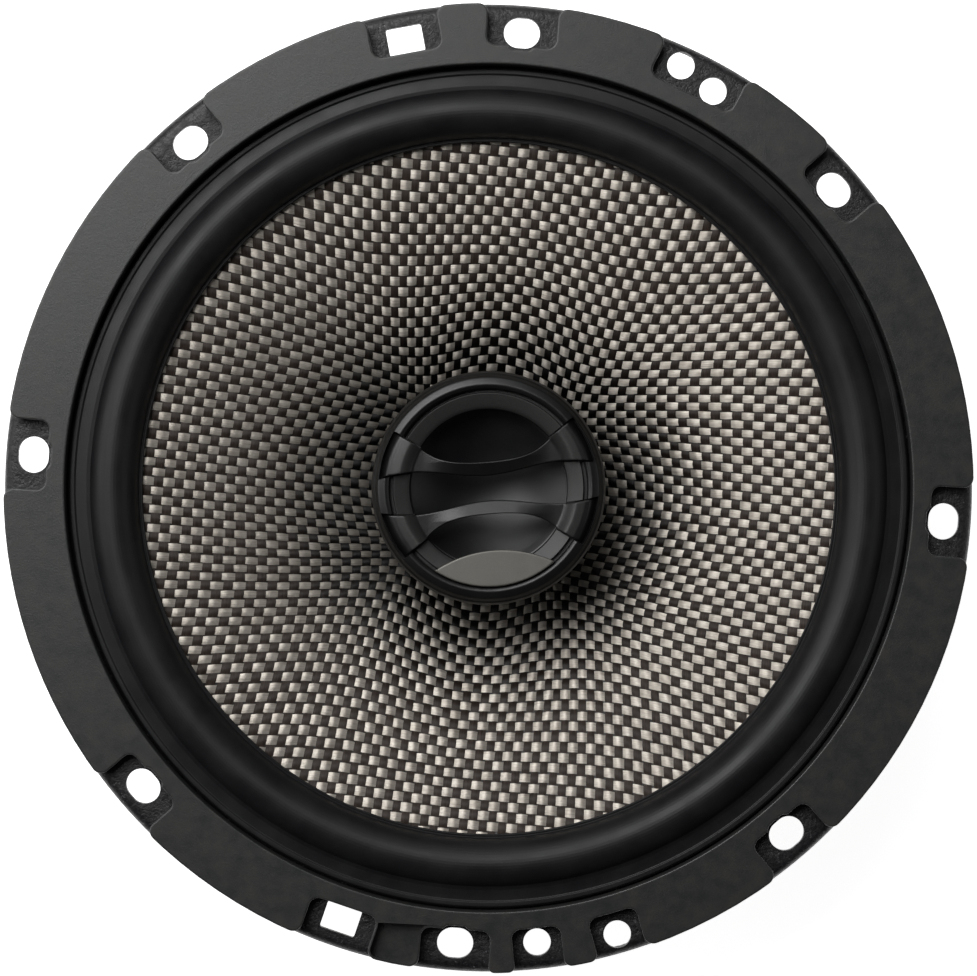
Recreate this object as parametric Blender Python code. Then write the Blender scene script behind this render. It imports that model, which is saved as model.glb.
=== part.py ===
"""A coaxial car loudspeaker with a 165 mm flange, lying on its magnet with its front up.

The axis is Z and the back of the magnet is at z = 0. Lengths are in millimetres and become metres
as the meshes are made. Pieces that touch in the real speaker stay GAP apart.
"""

import math

import bmesh
import bpy
from mathutils import Matrix

MM = 0.001
GAP = 0.3

# Turned pieces: sides of the large, the middle and the small circles
LARGE_SIDES = 40
MIDDLE_SIDES = 28
SMALL_SIDES = 12

# Magnet system
YOKE_RADIUS = 36.0
YOKE_THICKNESS = 5.0
POLE_RADIUS = 12.0
POLE_TOP = 25.0
POLE_BORE_RADIUS = 4.2
COUNTERBORE_RADIUS = 7.0
COUNTERBORE_DEPTH = 4.0
MAGNET_RADIUS = 38.0
MAGNET_BORE_RADIUS = 17.0
MAGNET_THICKNESS = 14.0
TOP_PLATE_RADIUS = 35.0
TOP_PLATE_BORE_RADIUS = 13.9
TOP_PLATE_THICKNESS = 5.0
EDGE_CHAMFER = 0.8

# Basket: one pressed steel sheet
BASKET_SHEET = 1.2
SEAT_BORE_RADIUS = 15.0
SEAT_RADIUS = 29.5
SPIDER_SHELF_INNER = 33.0
SPIDER_SHELF_OUTER = 38.4
SPIDER_SHELF_Z = 31.4
SPOKE_FOOT = (41.5, 34.0)
SPOKE_HEAD = (62.0, 48.6)
WALL_HEAD = (66.6, 53.4)
LEDGE_INNER = 68.0
LEDGE_OUTER = 71.6
LEDGE_Z = 56.4
FLANGE_RADIUS = 82.5
FLANGE_INNER = 72.9
FLANGE_Z = 58.0
RIM_BEND = 0.7
RIM_DEPTH = 2.2
WINDOW_INNER = 40.0
WINDOW_OUTER = 65.0
WINDOW_SPAN = 60.0
WINDOW_ANGLES = (0.0, 90.0, 180.0, 270.0)

# Holes in the flange, each with its angle and the radius it sits on
SLOT_ANGLES = tuple(45.0 * k for k in range(8))
SLOT_RADIUS = 77.6
SLOT_SIZE = (4.9, 6.0)
SLOT_CORNER = 2.2
SQUARE_ANGLES = (104.7, 255.3)
SQUARE_RADIUS = 77.5
SQUARE_SIZE = (4.7, 6.1)
SQUARE_CORNER = 0.5
ROUND_HOLES = ((69.7, 79.0), (64.7, 77.6), (290.3, 79.0), (280.3, 77.7))
ROUND_DIAMETER = 4.7

# Front gasket, with a notch open to the rim at every hole
GASKET_INNER = 72.1
GASKET_THICKNESS = 3.0
NOTCH_FLOOR = 75.2
NOTCH_CORNER = 1.5
WIDE_NOTCH = 11.8
NARROW_NOTCH = 8.4

# Cone, surround and spider
CONE_SHEET = 0.8
CONE_NECK_RADIUS = 13.5
CONE_NECK_Z = 35.5
CONE_COLLAR = 1.9
CONE_RADIUS = 60.2
CONE_DEPTH = 20.5
CONE_STRAIGHTNESS = 0.48
SURROUND_SHEET = 0.7
SURROUND_INNER = 59.0
SURROUND_LIP_Z = 57.05
ROLL_INNER = 60.0
ROLL_OUTER = 68.0
ROLL_HEIGHT = 4.3
SURROUND_RIM_INNER = 68.8
SURROUND_RIM_OUTER = 71.1
SURROUND_RIM_THICKNESS = 1.9
SPIDER_SHEET = 0.5
SPIDER_INNER = 13.3
SPIDER_WAVES = 5
SPIDER_WAVE_HEIGHT = 0.9

# Voice coil
FORMER_RADII = (12.4, 12.7)
FORMER_Z = (16.5, 36.5)
WINDING_RADII = (13.0, 13.5)
WINDING_Z = (16.8, 26.4)

# Tweeter
POST_RADIUS = 7.0
POST_FOOT_RADIUS = 10.5
HOUSING_BASE_Z = 45.4
HOUSING_RADIUS = 18.6
HOUSING_TOP_Z = 58.4
HOUSING_WALL = 1.5
CUP_RADIUS = 15.2
CUP_Z = (47.2, 54.8)
CUP_WALL = 1.5
TWEETER_MAGNET_RADIUS = 10.6
TWEETER_MAGNET_THICKNESS = 3.0
TWEETER_PLATE_RADIUS = 11.5
TWEETER_PLATE_THICKNESS = 2.0
TWEETER_FORMER_RADII = (12.1, 12.4)
TWEETER_WINDING_RADII = (12.7, 13.1)
TWEETER_COIL_Z = (51.4, 52.4, 54.4)
DOME_RADIUS = 12.4
DOME_RIM_Z = 58.6
DOME_DEPTH = 3.2
DOME_SHEET = 0.4
GRILLE_RADIUS = 19.75
GRILLE_OPENING = 13.3
GRILLE_SKIRT_Z = 57.4
BAR_Z = (63.1, 65.6)
BAR_RING_RADIUS = 18.3
BAR_CUT_ANGLE = 35.0
BAR_CUT_RADIUS = 13.6
BAR_UPPER_Y = 4.4
BAR_UPPER_REACH = 11.0
BAR_LOWER_Y = 2.1
BAR_LOWER_RISE = 1.5
BAR_LOWER_CREST_X = 13.0
TWEETER_CLOCKING = 8.7
BADGE_Z = (64.7, 65.7)
BADGE_RADIUS = 16.6
BADGE_ARC_RADIUS = 20.5
BADGE_TOP = -10.5

# Terminals, in the slope of the spoke at TERMINAL_ANGLE
TERMINAL_ANGLE = 315.0
TERMINAL_RADIUS = 51.5
BOARD_SIZE = (18.0, 26.0, 1.6)
BOARD_RIVETS = (-6.5, 6.5)
CAPACITOR_RADIUS = 4.0
CAPACITOR_LENGTH = 12.0
TAB_THICKNESS = 0.8
TAB_FOOT = 5.0
TAB_BLADE = 8.5
POSITIVE_WIDTH = 4.8
NEGATIVE_WIDTH = 2.8
RIVET_RADIUS = 1.5
RIVET_HEAD_RADIUS = 2.4
RIVET_HEAD = 0.9
SEAT_RIVET_CIRCLE = 24.5
BOLT_RADIUS = 1.9
BOLT_HEAD_RADIUS = 3.5
BOLT_HEAD_Z = (0.4, 2.5)
BOLT_TIP_Z = 36.0
WASHER_RADIUS = 6.0
WASHER_Z = (2.8, 3.7)


def material(name, colour, roughness, metallic=0.0):
    """A Principled material in one colour."""
    made = bpy.data.materials.new(name)
    made.use_nodes = True
    shader = made.node_tree.nodes["Principled BSDF"]
    shader.inputs["Base Color"].default_value = (*colour, 1.0)
    shader.inputs["Roughness"].default_value = roughness
    shader.inputs["Metallic"].default_value = metallic
    return made


def finish(name, mesh, look, parent=None):
    """Turns a bmesh into a smooth-shaded object in the scene."""
    bmesh.ops.recalc_face_normals(mesh, faces=mesh.faces)
    data = bpy.data.meshes.new(name)
    mesh.to_mesh(data)
    mesh.free()
    data.shade_smooth()
    data.set_sharp_from_angle(angle=math.radians(35))
    made = bpy.data.objects.new(name, data)
    if look is not None:
        data.materials.append(look)
    bpy.context.scene.collection.objects.link(made)
    made.parent = parent
    return made


def lathe(name, outline, look, sides, parent=None):
    """A solid turned about Z from a closed (r, z) outline. Its origin is on the axis, at its foot."""
    foot = min(z for _, z in outline)
    mesh = bmesh.new()
    rings = []
    for r, z in outline:
        if r == 0:
            rings.append([mesh.verts.new((0, 0, (z - foot) * MM))] * sides)
            continue
        turns = [2 * math.pi * k / sides for k in range(sides)]
        points = [(r * math.cos(a) * MM, r * math.sin(a) * MM, (z - foot) * MM) for a in turns]
        rings.append([mesh.verts.new(p) for p in points])
    for low, high in zip(rings, rings[1:] + rings[:1]):
        for k in range(sides):
            after = (k + 1) % sides
            corners = dict.fromkeys((low[k], low[after], high[after], high[k]))
            if len(corners) > 2:
                mesh.faces.new(corners)
    made = finish(name, mesh, look, parent)
    made.location.z = foot * MM
    return made


def sheet(middle, thickness):
    """The closed outline of a sheet about a middle line. A point may carry a thickness of its own."""
    upper = []
    lower = []
    last = len(middle) - 1
    for k, point in enumerate(middle):
        r, z = point[:2]
        before = middle[max(k - 1, 0)]
        after = middle[min(k + 1, last)]
        turns = []
        for a, b in ((before, point), (point, after)):
            length = math.hypot(b[0] - a[0], b[1] - a[1])
            if length > 0:
                turns.append(((a[1] - b[1]) / length, (b[0] - a[0]) / length))
        nr = sum(t[0] for t in turns) / len(turns)
        nz = sum(t[1] for t in turns) / len(turns)
        square = nr * nr + nz * nz
        half = (point[2] if len(point) > 2 else thickness) / 2
        upper.append((r + nr / square * half, z + nz / square * half))
        lower.append((r - nr / square * half, z - nz / square * half))
    return upper + lower[::-1]


def chamfered(inner, outer, low, high, chamfer=EDGE_CHAMFER):
    """The outline of a plate or a disc with its outer edges chamfered."""
    return [
        (inner, low),
        (outer - chamfer, low),
        (outer, low + chamfer),
        (outer, high - chamfer),
        (outer - chamfer, high),
        (inner, high),
    ]


def add_prism(mesh, outline, low, high, place):
    """Adds a closed prism on a flat (x, y) outline to a bmesh, moved by a matrix in millimetres."""
    layers = []
    for z in (low, high):
        points = [place @ Matrix.Translation((x, y, z)).translation for x, y in outline]
        layers.append([mesh.verts.new(p * MM) for p in points])
    bottom, top = layers
    mesh.faces.new(bottom[::-1])
    mesh.faces.new(top)
    for k in range(len(outline)):
        after = (k + 1) % len(outline)
        mesh.faces.new((bottom[k], bottom[after], top[after], top[k]))


def arc(radius, start, end, steps, centre=(0.0, 0.0)):
    """Points on an arc, from one angle in degrees to another."""
    angles = [math.radians(start + (end - start) * k / steps) for k in range(steps + 1)]
    return [(centre[0] + radius * math.cos(a), centre[1] + radius * math.sin(a)) for a in angles]


def rounded_box(low, high, width, corner, steps=3):
    """An outline from x = low to high and across y, with round corners."""
    half = width / 2 - corner
    points = arc(corner, 0, 90, steps, (high - corner, half))
    points += arc(corner, 90, 180, steps, (low + corner, half))
    points += arc(corner, 180, 270, steps, (low + corner, -half))
    points += arc(corner, 270, 360, steps, (high - corner, -half))
    return points


def turned(angle):
    """A turn about Z, in degrees."""
    return Matrix.Rotation(math.radians(angle), 4, "Z")


def cutter(name, mesh):
    """A hidden tool for a Boolean cut."""
    made = finish(name, mesh, None)
    made.hide_render = True
    made.display_type = "WIRE"
    return made


def subtract(target, tool):
    """Cuts one object with another."""
    cut = target.modifiers.new(tool.name, "BOOLEAN")
    cut.operation = "DIFFERENCE"
    cut.solver = "EXACT"
    cut.object = tool


def unite(target, tool):
    """Joins a hidden tool's shape into an object."""
    join = target.modifiers.new(tool.name, "BOOLEAN")
    join.operation = "UNION"
    join.solver = "EXACT"
    join.object = tool


def box(name, size, place, look):
    """A plain block about its own centre, placed by a matrix in metres."""
    mesh = bmesh.new()
    bmesh.ops.create_cube(mesh, size=1.0)
    bmesh.ops.scale(mesh, vec=[side * MM for side in size], verts=mesh.verts)
    made = finish(name, mesh, look)
    made.matrix_world = place
    return made


def spoke_place(along, across, out):
    """A place on the terminal spoke in metres: along its slope, across it, and square to it."""
    run = SPOKE_HEAD[0] - SPOKE_FOOT[0]
    slope = math.atan2(SPOKE_HEAD[1] - SPOKE_FOOT[1], run)
    height = SPOKE_FOOT[1] + (TERMINAL_RADIUS - SPOKE_FOOT[0]) * math.tan(slope)
    spoke = turned(TERMINAL_ANGLE) @ Matrix.Translation((TERMINAL_RADIUS * MM, 0, height * MM))
    spoke = spoke @ Matrix.Rotation(-slope, 4, "Y")
    return spoke @ Matrix.Translation((along * MM, across * MM, out * MM))


def make_t_yoke(look):
    """The back plate with its pole, bored through, and counterbored for the tweeter's bolt."""
    outline = [
        (COUNTERBORE_RADIUS, 0),
        (YOKE_RADIUS - EDGE_CHAMFER, 0),
        (YOKE_RADIUS, EDGE_CHAMFER),
        (YOKE_RADIUS, YOKE_THICKNESS),
        (POLE_RADIUS, YOKE_THICKNESS),
        (POLE_RADIUS, POLE_TOP - EDGE_CHAMFER),
        (POLE_RADIUS - EDGE_CHAMFER, POLE_TOP),
        (POLE_BORE_RADIUS, POLE_TOP),
        (POLE_BORE_RADIUS, COUNTERBORE_DEPTH),
        (COUNTERBORE_RADIUS, COUNTERBORE_DEPTH),
    ]
    lathe("t_yoke", outline, look, LARGE_SIDES)


def make_magnet(look):
    """The ferrite ring."""
    low = YOKE_THICKNESS + GAP
    outline = chamfered(MAGNET_BORE_RADIUS, MAGNET_RADIUS, low, low + MAGNET_THICKNESS, 1.2)
    lathe("ferrite_magnet", outline, look, LARGE_SIDES)


def rivet_cutter(name, low, high):
    """Clearance holes for the four rivets of the seat."""
    mesh = bmesh.new()
    hole = arc(RIVET_RADIUS + GAP, 0, 360 - 360 / SMALL_SIDES, SMALL_SIDES - 1)
    for angle in WINDOW_ANGLES:
        place = turned(angle + 45) @ Matrix.Translation((SEAT_RIVET_CIRCLE, 0, 0))
        add_prism(mesh, hole, low, high, place)
    return cutter(name, mesh)


def make_top_plate(look):
    """The front plate of the magnet."""
    low = YOKE_THICKNESS + MAGNET_THICKNESS + 2 * GAP
    high = low + TOP_PLATE_THICKNESS
    outline = chamfered(TOP_PLATE_BORE_RADIUS, TOP_PLATE_RADIUS, low, high)
    plate = lathe("top_plate", outline, look, LARGE_SIDES)
    subtract(plate, rivet_cutter("top_plate_holes", low - 1, high + 1))


def make_basket(look):
    """The pressed frame: seat, spider shelf, four spokes, surround ledge and flange with its rim."""
    seat_z = YOKE_THICKNESS + MAGNET_THICKNESS + TOP_PLATE_THICKNESS + 3 * GAP + BASKET_SHEET / 2
    rim = FLANGE_RADIUS - BASKET_SHEET / 2
    middle = [
        (SEAT_BORE_RADIUS, seat_z),
        (SEAT_RADIUS, seat_z),
        (SPIDER_SHELF_INNER, SPIDER_SHELF_Z),
        (SPIDER_SHELF_OUTER, SPIDER_SHELF_Z),
        SPOKE_FOOT,
        SPOKE_HEAD,
        WALL_HEAD,
        (LEDGE_INNER, LEDGE_Z),
        (LEDGE_OUTER, LEDGE_Z),
        (FLANGE_INNER, FLANGE_Z),
        (rim - RIM_BEND, FLANGE_Z),
        (rim, FLANGE_Z - RIM_BEND),
        (rim, FLANGE_Z - RIM_DEPTH),
    ]
    basket = lathe("basket", sheet(middle, BASKET_SHEET), look, LARGE_SIDES)

    windows = bmesh.new()
    half = WINDOW_SPAN / 2
    outline = arc(WINDOW_OUTER, -half, half, 10) + arc(WINDOW_INNER, half, -half, 8)
    for angle in WINDOW_ANGLES:
        add_prism(windows, outline, SPIDER_SHELF_Z - 3, LEDGE_Z + 3, turned(angle))
    subtract(basket, cutter("basket_windows", windows))

    holes = bmesh.new()
    low = FLANGE_Z - 4
    high = FLANGE_Z + 4
    for angle in SLOT_ANGLES:
        side = SLOT_SIZE[0] / 2
        slot = rounded_box(SLOT_RADIUS - side, SLOT_RADIUS + side, SLOT_SIZE[1], SLOT_CORNER)
        add_prism(holes, slot, low, high, turned(angle))
    for angle in SQUARE_ANGLES:
        side = SQUARE_SIZE[0] / 2
        square = rounded_box(
            SQUARE_RADIUS - side, SQUARE_RADIUS + side, SQUARE_SIZE[1], SQUARE_CORNER, 1
        )
        add_prism(holes, square, low, high, turned(angle))
    circle = arc(ROUND_DIAMETER / 2, 0, 360 - 360 / SMALL_SIDES, SMALL_SIDES - 1)
    for angle, radius in ROUND_HOLES:
        add_prism(holes, circle, low, high, turned(angle) @ Matrix.Translation((radius, 0, 0)))
    subtract(basket, cutter("flange_holes", holes))

    subtract(basket, rivet_cutter("seat_holes", seat_z - 2, seat_z + 2))
    board_holes = bmesh.new()
    clearance = arc(RIVET_RADIUS + GAP, 0, 360 - 360 / SMALL_SIDES, SMALL_SIDES - 1)
    for along in BOARD_RIVETS:
        place = spoke_place(along, 0, 0)
        place.translation = place.translation / MM
        add_prism(board_holes, clearance, -3, 3, place)
    subtract(basket, cutter("spoke_holes", board_holes))


def make_rivets(look):
    """Four rivets through the seat into the top plate, and two through the terminal board."""
    seat_top = YOKE_THICKNESS + MAGNET_THICKNESS + TOP_PLATE_THICKNESS + 3 * GAP + BASKET_SHEET
    plate_foot = YOKE_THICKNESS + MAGNET_THICKNESS + 2 * GAP
    head = seat_top + GAP
    seat_rivet = [
        (0, plate_foot + 0.5),
        (RIVET_RADIUS, plate_foot + 0.5),
        (RIVET_RADIUS, head),
        (RIVET_HEAD_RADIUS, head),
        (RIVET_HEAD_RADIUS - 0.6, head + RIVET_HEAD),
        (0, head + RIVET_HEAD),
    ]
    for number, angle in enumerate(WINDOW_ANGLES, 1):
        rivet = lathe(f"basket_rivet_{number}", seat_rivet, look, SMALL_SIDES)
        across = math.radians(angle + 45)
        rivet.location.x = SEAT_RIVET_CIRCLE * math.cos(across) * MM
        rivet.location.y = SEAT_RIVET_CIRCLE * math.sin(across) * MM

    upper = BASKET_SHEET / 2 + GAP
    lower = -(BASKET_SHEET / 2 + BOARD_SIZE[2] + 2 * GAP)
    board_rivet = [
        (0, lower - RIVET_HEAD),
        (RIVET_HEAD_RADIUS - 0.6, lower - RIVET_HEAD),
        (RIVET_HEAD_RADIUS, lower),
        (RIVET_RADIUS, lower),
        (RIVET_RADIUS, upper),
        (RIVET_HEAD_RADIUS, upper),
        (RIVET_HEAD_RADIUS - 0.6, upper + RIVET_HEAD),
        (0, upper + RIVET_HEAD),
    ]
    for number, along in enumerate(BOARD_RIVETS, 1):
        rivet = lathe(f"terminal_rivet_{number}", board_rivet, look, SMALL_SIDES)
        rivet.matrix_world = spoke_place(along, 0, lower - RIVET_HEAD)


def make_terminals(board_look, tab_look, capacitor_look):
    """The terminal board on its spoke, a wide and a narrow blade, and the tweeter's capacitor."""
    board_z = -(BASKET_SHEET / 2 + GAP + BOARD_SIZE[2] / 2)
    board = box("terminal_board", BOARD_SIZE, spoke_place(0, 0, board_z), board_look)
    holes = bmesh.new()
    clearance = arc(RIVET_RADIUS + GAP, 0, 360 - 360 / SMALL_SIDES, SMALL_SIDES - 1)
    for along in BOARD_RIVETS:
        place = spoke_place(along, 0, board_z)
        place.translation = place.translation / MM
        add_prism(holes, clearance, -3, 3, place)
    subtract(board, cutter("board_holes", holes))

    foot_z = board_z - BOARD_SIZE[2] / 2 - GAP
    blade_outline = [
        (0, 0),
        (TAB_FOOT, 0),
        (TAB_FOOT, -TAB_BLADE),
        (TAB_FOOT - TAB_THICKNESS, -TAB_BLADE),
        (TAB_FOOT - TAB_THICKNESS, -TAB_THICKNESS),
        (0, -TAB_THICKNESS),
    ]
    stand = Matrix.Rotation(math.radians(90), 4, "X")
    for name, width, across in (
        ("terminal_positive", POSITIVE_WIDTH, 5.2),
        ("terminal_negative", NEGATIVE_WIDTH, 10.8),
    ):
        mesh = bmesh.new()
        add_prism(mesh, blade_outline, -width / 2, width / 2, stand)
        blade = finish(name, mesh, tab_look)
        blade.matrix_world = spoke_place(2.5, across, foot_z)

    can = chamfered(0, CAPACITOR_RADIUS, 0, CAPACITOR_LENGTH, 0.5)
    capacitor = lathe("crossover_capacitor", can, capacitor_look, SMALL_SIDES)
    lying = Matrix.Rotation(math.radians(90), 4, "Y")
    middle = foot_z - CAPACITOR_RADIUS
    capacitor.matrix_world = spoke_place(-CAPACITOR_LENGTH / 2, -8, middle) @ lying


def make_gasket(look):
    """The front gasket, a ring with a notch for each hole of the flange."""
    low = FLANGE_Z + BASKET_SHEET / 2 + GAP
    high = low + GASKET_THICKNESS
    outline = [
        (GASKET_INNER, low),
        (FLANGE_RADIUS, low),
        (FLANGE_RADIUS, high - 0.4),
        (FLANGE_RADIUS - 0.4, high),
        (GASKET_INNER + 0.4, high),
        (GASKET_INNER, high - 0.4),
    ]
    gasket = lathe("front_gasket", outline, look, LARGE_SIDES)
    notches = bmesh.new()
    outside = FLANGE_RADIUS + 3
    wide = rounded_box(NOTCH_FLOOR, outside, WIDE_NOTCH, NOTCH_CORNER)
    narrow = rounded_box(NOTCH_FLOOR, outside, NARROW_NOTCH, NOTCH_CORNER)
    pair_angle = (ROUND_HOLES[0][0] + ROUND_HOLES[1][0]) / 2
    pair_width = NARROW_NOTCH + math.radians(ROUND_HOLES[0][0] - ROUND_HOLES[1][0]) * SLOT_RADIUS
    pair = rounded_box(NOTCH_FLOOR, outside, pair_width, NOTCH_CORNER)
    for angle in SLOT_ANGLES + SQUARE_ANGLES:
        add_prism(notches, wide, low - 1, high + 1, turned(angle))
    for angle, _ in ROUND_HOLES[2:]:
        add_prism(notches, narrow, low - 1, high + 1, turned(angle))
    add_prism(notches, pair, low - 1, high + 1, turned(pair_angle))
    subtract(gasket, cutter("gasket_notches", notches))


def cone_height(radius):
    """The cone's middle line: steep at the neck, flatter at the edge."""
    part = (radius - CONE_NECK_RADIUS) / (CONE_RADIUS - CONE_NECK_RADIUS)
    bend = CONE_STRAIGHTNESS * part + (1 - CONE_STRAIGHTNESS) * (1 - (1 - part) ** 2)
    return CONE_NECK_Z + CONE_DEPTH * bend


def make_cone(look, parent):
    """The woven cone with its neck collar."""
    steps = 5
    radii = [
        CONE_NECK_RADIUS + (CONE_RADIUS - CONE_NECK_RADIUS) * k / steps for k in range(steps + 1)
    ]
    middle = [(CONE_NECK_RADIUS, CONE_NECK_Z - CONE_COLLAR)]
    middle += [(r, cone_height(r)) for r in radii]
    lathe("cone", sheet(middle, CONE_SHEET), look, LARGE_SIDES, parent)


def half_roll(inner, outer, base, height, steps):
    """Points on the arch of a half roll."""
    centre = (inner + outer) / 2
    half = (outer - inner) / 2
    turns = [math.pi * (1 - k / steps) for k in range(steps + 1)]
    return [(centre + half * math.cos(a), base + height * math.sin(a)) for a in turns]


def make_surround(look):
    """The rubber surround: a lip on the cone, a half roll, and a thick rim on the ledge."""
    rim_z = LEDGE_Z + BASKET_SHEET / 2 + GAP + SURROUND_RIM_THICKNESS / 2
    middle = [(SURROUND_INNER, SURROUND_LIP_Z)]
    middle += half_roll(ROLL_INNER, ROLL_OUTER, SURROUND_LIP_Z, ROLL_HEIGHT, 6)[:-1]
    middle += [
        (ROLL_OUTER, rim_z - 0.4),
        (SURROUND_RIM_INNER, rim_z, SURROUND_RIM_THICKNESS),
        (SURROUND_RIM_OUTER, rim_z, SURROUND_RIM_THICKNESS),
    ]
    lathe("surround", sheet(middle, SURROUND_SHEET), look, LARGE_SIDES)


def make_spider(look):
    """The corrugated disc that centres the coil, with a collar at the former."""
    flat_z = SPIDER_SHELF_Z + BASKET_SHEET / 2 + GAP + SPIDER_SHEET / 2
    start = SPIDER_INNER + 1.5
    end = SPIDER_SHELF_INNER - 1.0
    middle = [(SPIDER_INNER, flat_z - 1.4), (SPIDER_INNER, flat_z)]
    for k in range(2 * SPIDER_WAVES + 1):
        wave = SPIDER_WAVE_HEIGHT * (-1) ** k if 0 < k < 2 * SPIDER_WAVES else 0.0
        middle.append((start + (end - start) * k / (2 * SPIDER_WAVES), flat_z + wave))
    middle.append((SPIDER_SHELF_OUTER - 0.6, flat_z))
    lathe("spider", sheet(middle, SPIDER_SHEET), look, MIDDLE_SIDES)


def tube(inner, outer, low, high):
    """The outline of a plain tube."""
    return [(inner, low), (outer, low), (outer, high), (inner, high)]


def make_voice_coil(former_look, copper, parent):
    """The former and the winding on it."""
    lathe("voice_coil_former", tube(*FORMER_RADII, *FORMER_Z), former_look, MIDDLE_SIDES, parent)
    lathe("voice_coil_winding", tube(*WINDING_RADII, *WINDING_Z), copper, MIDDLE_SIDES, parent)


def make_tweeter_fixing(post_look, steel):
    """The post that carries the tweeter, and the bolt and washer that hold it from behind."""
    foot = POLE_TOP + GAP
    top = HOUSING_BASE_Z - GAP
    bore = BOLT_RADIUS + GAP
    post = [
        (bore, foot),
        (POST_FOOT_RADIUS, foot),
        (POST_FOOT_RADIUS, foot + 2),
        (POST_RADIUS, foot + 5),
        (POST_RADIUS, top - 2),
        (POST_RADIUS + 2, top),
        (0, top),
        (0, BOLT_TIP_Z + 2),
        (bore, BOLT_TIP_Z + 2),
    ]
    lathe("tweeter_post", post, post_look, MIDDLE_SIDES)
    lathe("tweeter_washer", tube(bore, WASHER_RADIUS, *WASHER_Z), steel, SMALL_SIDES)
    bolt = [
        (0, BOLT_HEAD_Z[0]),
        (BOLT_HEAD_RADIUS, BOLT_HEAD_Z[0]),
        (BOLT_HEAD_RADIUS, BOLT_HEAD_Z[1]),
        (BOLT_RADIUS, BOLT_HEAD_Z[1]),
        (BOLT_RADIUS, BOLT_TIP_Z),
        (0, BOLT_TIP_Z),
    ]
    lathe("tweeter_bolt", bolt, steel, SMALL_SIDES)


def make_tweeter_housing(look):
    """The cup that holds the tweeter's motor."""
    floor = HOUSING_BASE_Z + HOUSING_WALL
    inner = HOUSING_RADIUS - HOUSING_WALL
    outline = [
        (0, HOUSING_BASE_Z),
        (CUP_RADIUS, HOUSING_BASE_Z),
        (HOUSING_RADIUS, 49.0),
        (HOUSING_RADIUS, HOUSING_TOP_Z),
        (inner, HOUSING_TOP_Z),
        (inner, 50.2),
        (CUP_RADIUS + 0.4, 48.7),
        (CUP_RADIUS + 0.4, floor),
        (0, floor),
    ]
    lathe("tweeter_housing", outline, look, MIDDLE_SIDES)


def make_tweeter_motor(steel, magnet_look):
    """The steel cup, the magnet disc and its front plate."""
    low, high = CUP_Z
    floor = low + CUP_WALL
    inner = CUP_RADIUS - CUP_WALL
    cup = [
        (0, low),
        (CUP_RADIUS, low),
        (CUP_RADIUS, high),
        (inner, high),
        (inner, floor),
        (0, floor),
    ]
    lathe("tweeter_yoke_cup", cup, steel, MIDDLE_SIDES)
    magnet_low = floor + GAP
    magnet_high = magnet_low + TWEETER_MAGNET_THICKNESS
    disc = chamfered(0, TWEETER_MAGNET_RADIUS, magnet_low, magnet_high, 0.3)
    lathe("tweeter_magnet", disc, magnet_look, MIDDLE_SIDES)
    plate_low = magnet_high + GAP
    plate = chamfered(0, TWEETER_PLATE_RADIUS, plate_low, plate_low + TWEETER_PLATE_THICKNESS, 0.3)
    lathe("tweeter_top_plate", plate, steel, MIDDLE_SIDES)


def make_tweeter_diaphragm(dome_look, former_look, copper, parent):
    """The inverted dome on its coil, which move, and the roll around them, which bends."""
    steps = 5
    ball = (DOME_RADIUS**2 + DOME_DEPTH**2) / (2 * DOME_DEPTH)
    centre = DOME_RIM_Z - DOME_DEPTH + ball
    reach = math.asin(DOME_RADIUS / ball)
    front = []
    back = []
    for k in range(steps + 1):
        turn = reach * (1 - k / steps)
        for points, radius in ((front, ball - DOME_SHEET / 2), (back, ball + DOME_SHEET / 2)):
            r = radius * math.sin(turn) if k < steps else 0
            points.append((r, centre - radius * math.cos(turn)))
    lathe("tweeter_dome", front + back[::-1], dome_look, MIDDLE_SIDES, parent)

    foot, winding_foot, winding_top = TWEETER_COIL_Z
    former = tube(*TWEETER_FORMER_RADII, foot, DOME_RIM_Z - DOME_SHEET - GAP)
    lathe("tweeter_coil_former", former, former_look, MIDDLE_SIDES, parent)
    winding = tube(*TWEETER_WINDING_RADII, winding_foot, winding_top)
    lathe("tweeter_coil_winding", winding, copper, MIDDLE_SIDES, parent)

    inside = DOME_RADIUS + 2 * GAP
    roll = half_roll(inside + 0.4, 15.6, DOME_RIM_Z, 1.0, 3)
    middle = [(inside, DOME_RIM_Z), *roll, (16.8, DOME_RIM_Z)]
    lathe("tweeter_surround", sheet(middle, 0.3), dome_look, MIDDLE_SIDES)


def bar_lower_edge(x):
    """The upper bar's lower edge: lowest in the middle and highest at BAR_LOWER_CREST_X."""
    return BAR_LOWER_Y + BAR_LOWER_RISE / 2 * (1 - math.cos(math.pi * x / BAR_LOWER_CREST_X))


def bar_outline():
    """The upper bar of the grille: a waisted blade that widens into the ring at both ends."""
    steps = 8
    upper = []
    for k in range(-steps, steps + 1):
        x = BAR_UPPER_REACH * k / steps
        upper.append((x, BAR_UPPER_Y + 0.0085 * x**2 + 0.000125 * x**4))
    tip_x = math.sqrt(BAR_RING_RADIUS**2 - bar_lower_edge(BAR_RING_RADIUS) ** 2)
    tip = math.degrees(math.acos(tip_x / BAR_RING_RADIUS))
    lower = []
    for k in range(steps - 1, -steps, -1):
        x = tip_x * k / steps
        lower.append((x, bar_lower_edge(x)))
    cut = arc(BAR_CUT_RADIUS, 180 - BAR_CUT_ANGLE, BAR_CUT_ANGLE, 1)
    right = arc(BAR_RING_RADIUS, BAR_CUT_ANGLE, tip, 3)
    left = arc(BAR_RING_RADIUS, 180 - tip, 180 - BAR_CUT_ANGLE, 3)
    return [cut[0], *upper, cut[1], *right, *lower, *left]


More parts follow.
